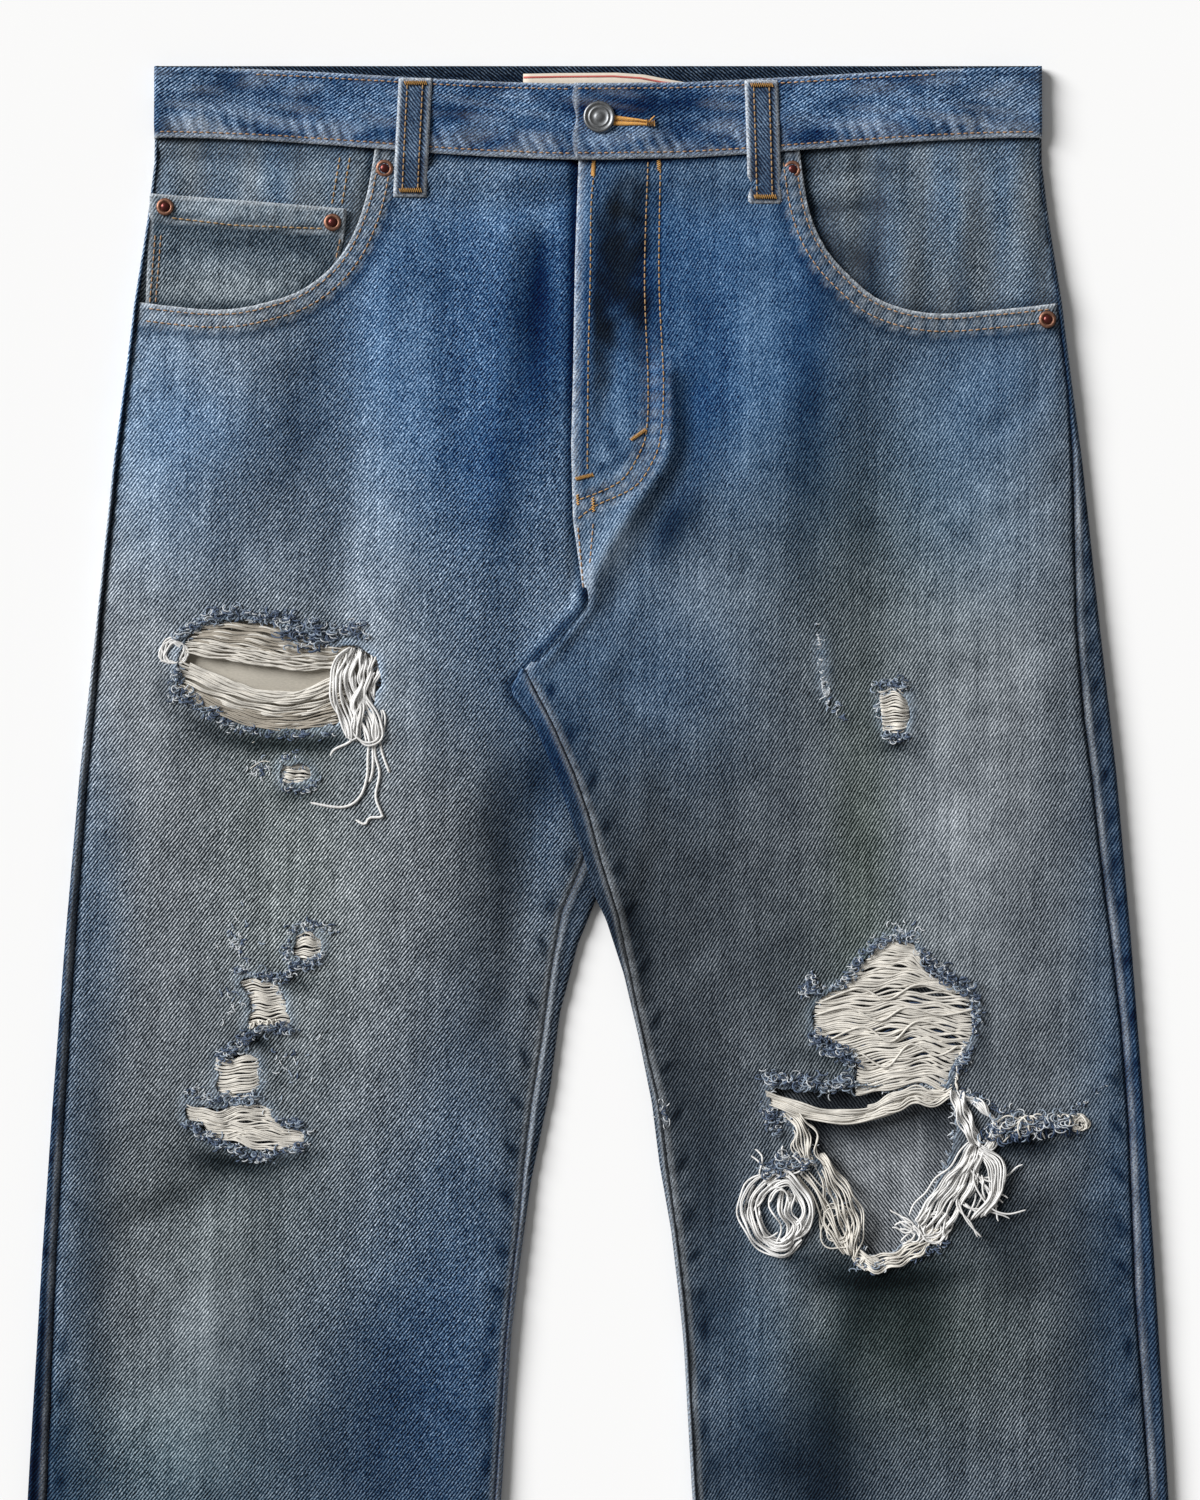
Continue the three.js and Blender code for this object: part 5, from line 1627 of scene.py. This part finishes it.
# Thigh: two bundles with a gap that shows the pocket bag, and a bunch hanging at the right
threadPiece(
    "weftThighUpper",
    bundle([(-208, 292), (-178, 293), (-150, 299), (-121, 303)], [(-217, 306), (-186, 311), (-158, 314),
        (-131, 313)], 17, 6.2, 21, 0.5, 19, rise=1.6, stray=1.0, depth=1.6)
    + bundle([(-214, 299), (-190, 301), (-160, 306), (-128, 305)], [(-216, 306), (-187, 310),
        (-158, 314.5), (-132, 313)], 8, 7.2, 24, 0.6, 23, rise=1.2, stray=1.2),
    0.46, weftWhite, nodes=["weft_thigh_upper"])
threadPiece(
    "weftThighShade",
    bundle([(-203, 291), (-178, 292), (-150, 299), (-126, 303)], [(-211, 300), (-184, 304), (-156, 309),
        (-130, 309)], 15, 6.9, 34, 0.5, 19, rise=1.2, stray=1.4)
    + bundle([(-214, 322), (-196, 331), (-172, 337), (-150, 336), (-134, 331)], [(-217, 328), (-198, 337),
        (-172, 345), (-150, 344.5), (-134, 341)], 13, 6.6, 35, 0.4, 21, rise=1.2, stray=1.4),
    0.46, weftDim)
threadPiece(
    "weftThighLower",
    bundle([(-217, 309), (-190, 320.5), (-171, 325.5), (-152, 324.5), (-128, 314)], [(-220, 324),
        (-198, 332), (-172, 338), (-150, 337.5), (-128, 330)], 18, 6.0, 22, 0.45, 21, rise=1.5, stray=0.9,
        depth=1.8)
    + bundle([(-212, 311), (-190, 321), (-171, 326), (-152, 325), (-131, 315)], [(-213, 316), (-190, 326),
        (-170, 331), (-150, 329), (-131, 320)], 8, 7.6, 25, 0.35, 25)
    + bundle([(-205, 333), (-190, 338), (-172, 342), (-150, 341), (-136, 336)], [(-200, 337), (-188, 341),
        (-172, 344), (-150, 343), (-136, 341)], 4, 6.2, 36, 0.3, 25),
    0.50, weftWhite, nodes=["weft_thigh_lower"])
threadPiece(
    "fringeThigh",
    bundle([(-129, 303), (-138, 316), (-136, 332), (-130, 350)], [(-124, 304), (-127, 318), (-122, 334),
        (-124, 352)], 13, 8.4, 51, 1.0, 26, stray=1.6, depth=2.2)
    + bundle([(-124, 304), (-124, 318), (-128, 334), (-120, 352)], [(-113, 312), (-117, 326), (-112, 340),
        (-111, 352)], 12, 8.2, 52, 1.2, 24, stray=1.8, depth=2.2)
    + bundle([(-130, 306), (-128, 318), (-124, 326)], [(-117, 306), (-118, 318), (-116, 328)], 9, 8.0, 37,
        0.8, 15, stray=1.6, depth=1.6)
    + drawn([[(-127, 304), (-137, 322), (-132, 346), (-126, 351), (-125, 340), (-129, 326)], [(-122, 330),
        (-128, 344), (-122, 352), (-114, 350), (-116, 338), (-121, 330)], [(-116, 316), (-121, 326),
        (-114, 338), (-112, 350), (-120, 354), (-126, 348)]], 8.8, 1.2),
    0.58, fringeWhite, nodes=["fringe_thigh"])
threadPiece(
    "tailsThigh",
    drawn([[(-118, 346), (-119.5, 358), (-120, 370), (-124, 381), (-133, 386), (-150, 383.5)],
        [(-115, 346), (-116, 358), (-113.5, 368), (-115.5, 380), (-113, 388), (-112, 391), (-119, 391.5),
        (-121, 395), (-126, 392.5)], [(-114, 348), (-112, 358), (-108.3, 368)], [(-117, 350), (-117, 366),
        (-119, 373)], [(-124, 346), (-129, 352), (-137, 356), (-139.5, 360)]], 6.9, 0.8),
    0.72, fringeWhite)
threadPiece("ringThigh", coil(-220.5, 305.5, 6.6, 6.4, 7, 6.9, 26, 0.8, 0.82, (4.8, 6)), 0.55, fringeWhite)
threadPiece(
    "fineThreads",
    drawn([[(-199, 337), (-193, 341), (-181, 346), (-177, 350), (-174.5, 357.5)], [(-205, 331),
        (-196, 337), (-188, 341)], [(-180, 346), (-178, 351), (-181, 353)], [(-166, 364), (-174, 362),
        (-181, 366)]], 6.4, 0.4),
    0.3, weftWhite)
threadPiece(
    "weftSpotRight",
    bundle([(-166, 364.5), (-157, 363), (-148, 366)], [(-165, 373), (-156, 374.5), (-148, 372)], 15, 5.9,
        23, 0.35, 8, rise=1.1, stray=1.0),
    0.45, weftWhite, nodes=["weft_spot_right"])
threadPiece(
    "slitThreads",
    drawn([[(115, 292), (114.5, 302), (117, 312), (116, 322), (119, 332)], [(116, 300), (117.5, 308),
        (116, 318), (118, 328)], [(118, 310), (117, 320), (120, 330)]], 6.6, 0.3)
    + curls([(115, 296), (116.5, 312), (119, 332)], 60, 1.5, 6.6, 82),
    0.3, lintPale)
# Shin: a ladder of four patches
threadPiece(
    "weftShinTop",
    bundle([(-158, 453), (-150, 451), (-144, 455)], [(-158, 465), (-150, 466), (-142, 463)], 15, 5.6, 27,
        0.5, 9, 1.0, rise=1.2, stray=0.8)
    + bundle([(-188, 475), (-178, 475), (-167, 477)], [(-183, 500), (-172, 500), (-158, 499)], 30, 5.4, 28,
        0.6, 12, 1.2, rise=0.8, stray=0.7),
    0.44, weftWhite, nodes=["weft_shin_top"])
threadPiece(
    "weftShinMiddle",
    bundle([(-199, 515), (-188, 517), (-176, 514)], [(-200, 536), (-188, 537), (-176, 532)], 23, 5.4, 29,
        1.0, 19, 0.8, rise=1.1, stray=0.7),
    0.5, weftWhite, nodes=["weft_shin_middle"])
threadPiece(
    "weftShinBottom",
    bundle([(-215, 540), (-199, 544), (-184, 541), (-170, 543)], [(-213, 547), (-196, 551), (-181, 548),
        (-164, 552)], 12, 5.7, 30, 0.6, 16, 1.0, rise=1.0, stray=0.8)
    + bundle([(-207, 548), (-190, 550), (-172, 551), (-152, 557)], [(-200, 558), (-185, 561), (-170, 565),
        (-153, 561)], 19, 5.3, 32, 0.8, 20, 1.0, rise=1.1, stray=0.8)
    + bundle([(-194, 556), (-182, 553), (-170, 556), (-153, 558)], [(-192, 559), (-180, 557), (-168, 560),
        (-153, 561)], 5, 6.4, 33, 0.3, 24),
    0.46, weftWhite, nodes=["weft_shin_bottom"])
threadPiece(
    "weftSpotLeft",
    bundle([(146, 327), (154, 325), (162, 329)], [(148, 345), (155, 347), (162, 343)], 26, 6.6, 31, 0.5,
        11, 1.0, rise=1.4, stray=1.0, depth=1.2),
    0.46, weftWhite, nodes=["weft_spot_left"])
# Knee: wavy threads above, a sling below them, and bunches round the open hole
threadPiece(
    "weftKnee",
    bundle([(145, 458), (154, 455), (163, 457), (167, 462)], [(134, 471), (146, 469), (160, 468),
        (170, 472)], 17, 5.7, 41, 0.6, 15, 0.8, stray=0.45)
    + bundle([(133, 472), (148, 470), (161, 469), (171, 473)], [(115, 484), (136, 483), (160, 479),
        (191, 483)], 15, 5.8, 42, 0.9, 21, 0.9, stray=0.4)
    + bundle([(113, 485), (135, 484), (160, 482), (193, 485)], [(112, 504), (138, 503), (162, 500),
        (195, 504)], 22, 5.8, 43, 1.0, 26, 1.3, stray=0.4)
    + bundle([(118, 505), (140, 504), (164, 501), (194, 505)], [(135, 517), (150, 517), (166, 513),
        (189, 516)], 15, 5.9, 44, 1.3, 25, 1.2, stray=0.4)
    + bundle([(135, 518), (150, 519), (165, 514), (187, 517)], [(134, 534), (148, 534), (160, 529),
        (181, 532)], 19, 6.0, 45, 1.4, 23, 1.2, stray=0.45)
    + drawn([[(113, 494), (130, 490), (146, 497), (160, 490), (178, 494), (195, 491)], [(120, 507),
        (138, 500), (152, 508), (166, 497), (184, 502)], [(137, 514), (150, 521), (162, 509), (176, 515),
        (187, 510)], [(116, 487), (136, 480), (150, 486), (166, 478), (184, 482)]], 6.8, 0.7),
    0.56, weftWhite, nodes=["weft_knee"])
threadPiece(
    "weftKneeSling",
    bundle([(87, 533), (104, 539), (122, 543), (139, 542), (153, 536), (165, 533), (181, 534)], [(89, 541),
        (104, 546), (120, 550), (138, 549.5), (152, 545), (163, 540), (179, 538)], 13, 7.0, 46, 0.4, 24,
        rise=1.2, depth=1.4)
    + bundle([(140, 541), (152, 536), (163, 531), (174, 534), (184, 531)], [(138, 547), (151, 545),
        (162, 540), (172, 541), (183, 537)], 8, 8.0, 47, 0.9, 17, 1.0),
    0.50, weftWhite, nodes=["weft_knee_sling"])
threadPiece(
    "fringeKneeInner",
    bundle([(88, 576), (77, 583), (74, 596), (78, 607), (86, 616), (97, 619), (106, 611)], [(93, 580),
        (86, 588), (84, 598), (89, 607), (95, 611), (100, 606), (102, 600)], 13, 7.0, 53, 0.5, 19,
        rise=2.4, stray=2.4, depth=2.8)
    + bundle([(85, 579), (97, 574), (109, 584), (113, 596), (110, 605), (102, 611)], [(91, 585), (99, 581),
        (104, 589), (106, 597), (102, 604), (98, 609)], 11, 7.4, 54, 0.4, 20, rise=2.6, stray=1.5,
        depth=2.2)
    + bundle([(94, 584), (90, 594), (96, 602), (94, 612)], [(102, 586), (101, 596), (105, 604), (99, 614)],
        10, 7.2, 55, 0.6, 16, rise=2.8, stray=1.6, depth=2.6)
    + coil(93, 597, 14, 16, 9, 7.4, 68, 3.0, 0.5, (1.5, 3.2))
    + spray([(84, 578), (96, 574), (107, 579)], 12, 14, 300, 120, 8.0, 69, 0.2),
    0.50, fringeWhite, nodes=["fringe_knee_inner"])
threadPiece(
    "fringeKneeMiddle",
    bundle([(111, 566), (117, 582), (122, 598), (130, 618)], [(117, 566), (131, 584), (137, 601),
        (134, 620)], 16, 6.8, 56, 0.6, 18, rise=2.0, stray=2.8, depth=2.4)
    + bundle([(103, 577), (112, 592), (119, 606), (128, 618)], [(108, 575), (120, 588), (126, 604),
        (131, 619)], 10, 6.6, 70, 0.4, 20, rise=1.6, stray=1.6, depth=1.6)
    + coil(125, 603, 9, 12, 11, 7.0, 57, 2.0, 0.5, (1.8, 4.0)),
    0.38, weftWhite)
threadPiece(
    "fringeKneeOuter",
    bundle([(183, 533), (186, 545), (190, 555), (195, 562)], [(189, 533), (193, 545), (197, 555),
        (199, 562)], 14, 7.2, 58, 0.6, 13, rise=1.8, stray=1.2, depth=2.0)
    + bundle([(190, 535), (200, 540), (206, 552), (198, 563)], [(193, 540), (203, 546), (208, 557),
        (202, 566)], 11, 7.0, 71, 0.8, 14, rise=1.8, stray=1.4, depth=2.0)
    + bundle([(193, 560), (184, 572), (172, 586), (163, 599)], [(200, 564), (194, 582), (186, 597),
        (177, 613)], 24, 7.4, 72, 0.55, 17, rise=2.4, stray=3.0, depth=2.8)
    + bundle([(199, 562), (209, 569), (210, 584), (201, 598)], [(197, 566), (203, 575), (202, 588),
        (193, 601)], 10, 8.0, 73, 0.5, 21, rise=2.2, stray=1.6, depth=2.0)
    + spray([(192, 572), (200, 582), (188, 592)], 13, 26, 75, 40, 8.6, 59, 0.12)
    + spray([(166, 598), (164, 606), (174, 610)], 18, 12, 130, 110, 7.2, 60, 0.25)
    + coil(174, 603, 10, 9, 12, 7.0, 74, 2.0, 0.4, (1.8, 4.2))
    + drawn([[(196, 566), (190, 580), (186, 592), (193, 601), (197, 609)], [(197, 566), (195, 580),
        (203, 593), (212, 597), (222, 595)], [(200, 566), (210, 575), (208, 588), (198, 596), (190, 591)],
        [(186, 588), (191, 600), (199, 609)], [(194, 566), (187, 583), (181, 596), (179, 608)]], 9.0, 1.0),
    0.48, fringeWhite, nodes=["fringe_knee_outer"])
threadPiece(
    "fringeKneeSide",
    lintRoll([(203, 554), (222, 552), (240, 549), (252, 550)], 18, 5.0, 5.6, 61)
    + coil(250, 550.5, 5, 4.6, 12, 6.4, 62, 2.0, 0.3)
    + drawn([[(203, 563), (208, 556), (216, 551), (222, 546), (226, 549), (222, 556), (216, 558)],
        [(204, 553), (212, 546), (222, 549), (228, 545), (236, 549)], [(210, 560), (218, 553), (228, 552),
        (232, 558)]], 9.0, 0.8),
    0.42, weftWhite, nodes=["fringe_knee_side"])
threadPiece(
    "whiteRolls",
    bundle([(96, 545), (102, 555), (101, 563), (108, 572)], [(102, 543), (113, 555), (113, 566),
        (118, 572)], 13, 6.6, 63, 0.6, 15, rise=1.8, stray=1.6, depth=1.6)
    + bundle([(132, 620), (142, 627), (154, 624), (167, 618), (179, 606)], [(134, 616), (143, 619),
        (155, 617), (166, 610), (176, 603)], 13, 6.4, 64, 0.8, 13, rise=1.6, stray=1.6, depth=1.8)
    + coil(140, 623, 6.5, 3.8, 9, 7.0, 75, 1.4, 0.5)
    + lintRoll([(186, 533), (187, 520), (190, 512)], 14, 1.6, 6.2, 65)
    + lintRoll([(-182, 500), (-174, 498), (-166, 498)], 22, 1.6, 6.0, 66),
    0.42, weftWhite)
# Navy threads laid low: a roll of navy lint under the side roll, and a layer under the knee's weft that is
# painted shade in the gaps between its threads
threadPiece(
    "shadedThreads",
    lintRoll([(200, 556), (218, 556), (238, 554), (252, 554)], 60, 4.0, 5.0, 76)
    + bundle([(118, 487), (140, 487), (165, 484), (190, 489)], [(120, 528), (140, 530), (160, 526),
        (182, 529)], 12, 4.6, 77, 1.0, 25, 2.0),
    0.45, lintNavy)

# Lint and torn edges: line, loops for each mm, radius, level, and the shares of dark and pale
lintEdges = [
    ([(-219, 298), (-212, 292), (-204, 288)], 7, 3.6, 6.2, 0.35, 0.3),
    ([(-204, 288), (-190, 285), (-174, 287), (-160, 288)], 10, 4.8, 6.2, 0.4, 0.3),
    ([(-164, 294), (-154, 297), (-142, 299)], 16, 7.4, 6.2, 0.5, 0.2),
    ([(-148, 291), (-139, 298), (-131, 294), (-125, 292), (-120, 299)], 10, 5.0, 6.4, 0.45, 0.25),
    ([(-121, 300), (-112, 307), (-112, 322), (-117, 334)], 3.4, 2.0, 6.0, 0.5, 0.3),
    ([(-218, 314), (-219, 322), (-221, 327)], 6, 3.4, 6.2, 0.4, 0.3),
    ([(-221, 327), (-210, 331), (-199, 338), (-190, 343)], 11, 4.2, 6.2, 0.4, 0.35),
    ([(-186, 344), (-172, 347), (-160, 347), (-148, 349), (-138, 346)], 8, 3.0, 6.0, 0.55, 0.25),
    ([(-163, 361), (-156, 359), (-150, 362)], 9, 3.2, 6.2, 0.5, 0.25),
    ([(-180, 364), (-172, 366), (-165, 368)], 3.5, 2.2, 5.0, 0.5, 0.3),
    ([(-163, 375), (-154, 377), (-145, 373)], 9, 3.2, 6.0, 0.55, 0.2),
    ([(-160, 451), (-152, 447), (-143, 448), (-139, 450)], 7, 3.4, 6.0, 0.3, 0.4),
    ([(-161, 458), (-161, 466)], 7, 3.0, 6.0, 0.4, 0.3),
    ([(-174, 473), (-165, 476), (-159, 469), (-150, 467.5), (-143, 463)], 10, 3.8, 6.0, 0.45, 0.3),
    ([(-188, 470), (-180, 472), (-172, 474)], 6, 2.8, 5.8, 0.4, 0.4),
    ([(-159, 502), (-168, 500), (-180, 504), (-188, 511), (-198, 516)], 10, 3.6, 6.2, 0.5, 0.25),
    ([(-196, 538), (-186, 538), (-176, 536)], 8, 3.8, 5.8, 0.3, 0.3),
    ([(-214, 535), (-206, 534), (-200, 538)], 6, 2.8, 5.4, 0.45, 0.3),
    ([(-214, 550), (-206, 555), (-198, 561), (-186, 565)], 9, 3.2, 6.0, 0.5, 0.3),
    ([(-186, 565), (-174, 568), (-164, 565), (-152, 562)], 9, 3.2, 6.0, 0.45, 0.35),
    ([(-166, 549), (-158, 550), (-150, 554)], 9, 3.2, 6.0, 0.5, 0.2),
    ([(113, 289), (116, 300)], 3, 1.6, 6.4, 0.2, 0.5),
    ([(145, 323), (153, 321), (161, 324)], 9, 3.4, 7.0, 0.45, 0.25),
    ([(150, 348), (156, 351), (162, 347)], 9, 3.4, 6.8, 0.5, 0.2),
    ([(110, 472), (111, 481), (118, 481), (127, 477)], 7, 3.0, 6.2, 0.4, 0.3),
    ([(127, 478), (134, 468), (143, 458), (155, 453), (166, 455)], 8, 3.6, 6.2, 0.4, 0.3),
    ([(168, 461), (178, 472), (194, 481)], 11, 4.6, 6.2, 0.5, 0.25),
    ([(195, 484), (197, 494), (196, 504)], 8, 3.2, 6.2, 0.45, 0.3),
    ([(112, 504), (120, 511), (134, 516)], 10, 3.8, 6.2, 0.6, 0.15),
    ([(87, 526), (103, 529), (120, 530), (132, 529)], 12, 5.0, 6.2, 0.4, 0.25),
    ([(88, 544), (98, 548), (104, 556)], 5, 2.4, 5.6, 0.5, 0.25),
    ([(86, 574), (96, 571), (108, 570)], 16, 5.4, 7.0, 0.45, 0.3),
    ([(86, 540), (90, 548), (94, 556)], 8, 3.6, 6.4, 0.5, 0.3),
    ([(107, 484), (110, 476), (116, 482)], 9, 3.6, 6.2, 0.4, 0.3),
    ([(118, 510), (128, 514), (132, 520)], 12, 4.4, 6.4, 0.6, 0.2),
    ([(186, 524), (190, 518), (192, 512)], 8, 3.4, 6.4, 0.5, 0.3),
    ([(190, 534), (204, 541), (216, 545)], 6, 3.4, 5.8, 0.4, 0.3),
    ([(204, 554), (222, 551), (244, 549)], 20, 6.4, 6.6, 0.35, 0.35),
    ([(244, 545), (254, 538), (264, 530)], 2.5, 1.6, 6.0, 0.5, 0.3),
    ([(133, 622), (141, 625), (150, 622)], 8, 3.8, 5.8, 0.3, 0.4),
    ([(160, 620), (172, 617), (180, 612)], 7, 3.4, 5.2, 0.75, 0.1),
]
# Light fuzz where the face of the cloth is rubbed: centre, reach, count
fuzzPatches = [
    (-187, 456, 8, 16, 34), (-190, 486, 7, 12, 24), (-162, 524, 12, 14, 22), (-176, 366, 8, 5, 20),
    (124, 334, 7, 7, 16), (160, 450, 12, 6, 24), (34, 545, 3, 5, 26),
]
lint = {"dark": [], "middle": [], "pale": []}
for index, (line, density, radius, level, darkShare, paleShare) in enumerate(lintEdges):
    count = round(lineStops(line)[-1] * density * 0.36)
    shares = (("dark", darkShare), ("pale", paleShare), ("middle", 1 - darkShare - paleShare))
    for offset, (kind, share) in enumerate(shares):
        lint[kind] += curls(line, round(count * share), radius, level, 300 + 3 * index + offset)
for index, (cx, cd, rx, rd, count) in enumerate(fuzzPatches):
    toss = random.Random(500 + index)
    for number in range(count):
        spread = toss.gauss(0, 0.5), toss.gauss(0, 0.5)
        px, pd = cx + rx * spread[0], cd + rd * spread[1]
        level = float(frontHeight(-1 if cx < 0 else 1, np.array(px), np.array(pd))) + 0.15
        strand = looseThread(toss, px, pd, level, toss.uniform(0, 2 * math.pi), toss.uniform(2, 4.5),
                             0.9, 0.3, 6, level)
        lint[toss.choice(("pale", "middle", "pale", "dark"))].append(strand)
for side in rips:
    for index, (name, outline) in enumerate(rips[side].items()):
        closed = outline + outline[:1]
        level = 6.4 if outline[0][1] < 400 else 5.5
        for kind, density, seed in (("pale", 0.5, 80), ("middle", 0.4, 120)):
            toss = random.Random(seed + index + 5 * side)
            count = round(lineStops(closed)[-1] * density)
            starts = random.Random(seed).choices(ragged(outline, 1.2, 1.2, seed), k=count)
            for px, pd in starts:
                rise, heading = toss.uniform(0, 0.6), toss.uniform(0, 2 * math.pi)
                lint[kind].append(looseThread(toss, px, pd, level + rise, heading, toss.uniform(2, 5),
                                              0.5, 0.3, 7, level))
threadPiece("lintDark", lint["dark"], 0.46, weftShade, sides=0)
threadPiece("lintMiddle", lint["middle"], 0.44, lintMiddle, sides=0)
threadPiece("lintPale", lint["pale"], 0.34, lintPale, sides=0)

print("floor, light and camera")
view = {"lens": 85.0, "sensor": 36, "middle": (1.0, 356.2), "tall": 780.0, "clothLevel": 6}
bm = bmesh.new()
bmesh.ops.create_grid(bm, x_segments=1, y_segments=1, size=4)
floorMesh = bpy.data.meshes.new("floor")
bm.to_mesh(floorMesh)
bm.free()
floor = bpy.data.objects.new("floor", floorMesh)
bpy.context.scene.collection.objects.link(floor)
floor.location.z = -0.0001
floorPaper, _, floorShader = newMaterial("floorPaper")
floorShader.inputs["Base Color"].default_value = (0.94, 0.94, 0.94, 1)
floorShader.inputs["Roughness"].default_value = 1.0
floorShader.inputs["Specular IOR Level"].default_value = 0.0
floorMesh.materials.append(floorPaper)

studio = {"fill": 0.20, "sun": 5.0, "softness": 32}
world = bpy.data.worlds.new("studio")
bpy.context.scene.world = world
world.use_nodes = True
world.node_tree.nodes["Background"].inputs[0].default_value = (1.0, 0.985, 0.96, 1)
world.node_tree.nodes["Background"].inputs[1].default_value = studio["fill"]
sunData = bpy.data.lights.new("window", "SUN")
sunData.energy = studio["sun"]
sunData.angle = math.radians(studio["softness"])
sun = bpy.data.objects.new("window", sunData)
sun.rotation_euler = Vector((-0.80, 0.42, 0.543)).to_track_quat("Z", "Y").to_euler()
bpy.context.scene.collection.objects.link(sun)

cameraData = bpy.data.cameras.new("camera")
cameraData.lens = view["lens"]
cameraData.sensor_width = view["sensor"]
camera = bpy.data.objects.new("camera", cameraData)
camera.location = (view["middle"][0] * mm, waistY - view["middle"][1] * mm,
                   view["tall"] * mm * view["lens"] / view["sensor"] + view["clothLevel"] * mm)
bpy.context.scene.collection.objects.link(camera)
bpy.context.scene.camera = camera
bpy.context.scene.view_settings.view_transform = "Standard"
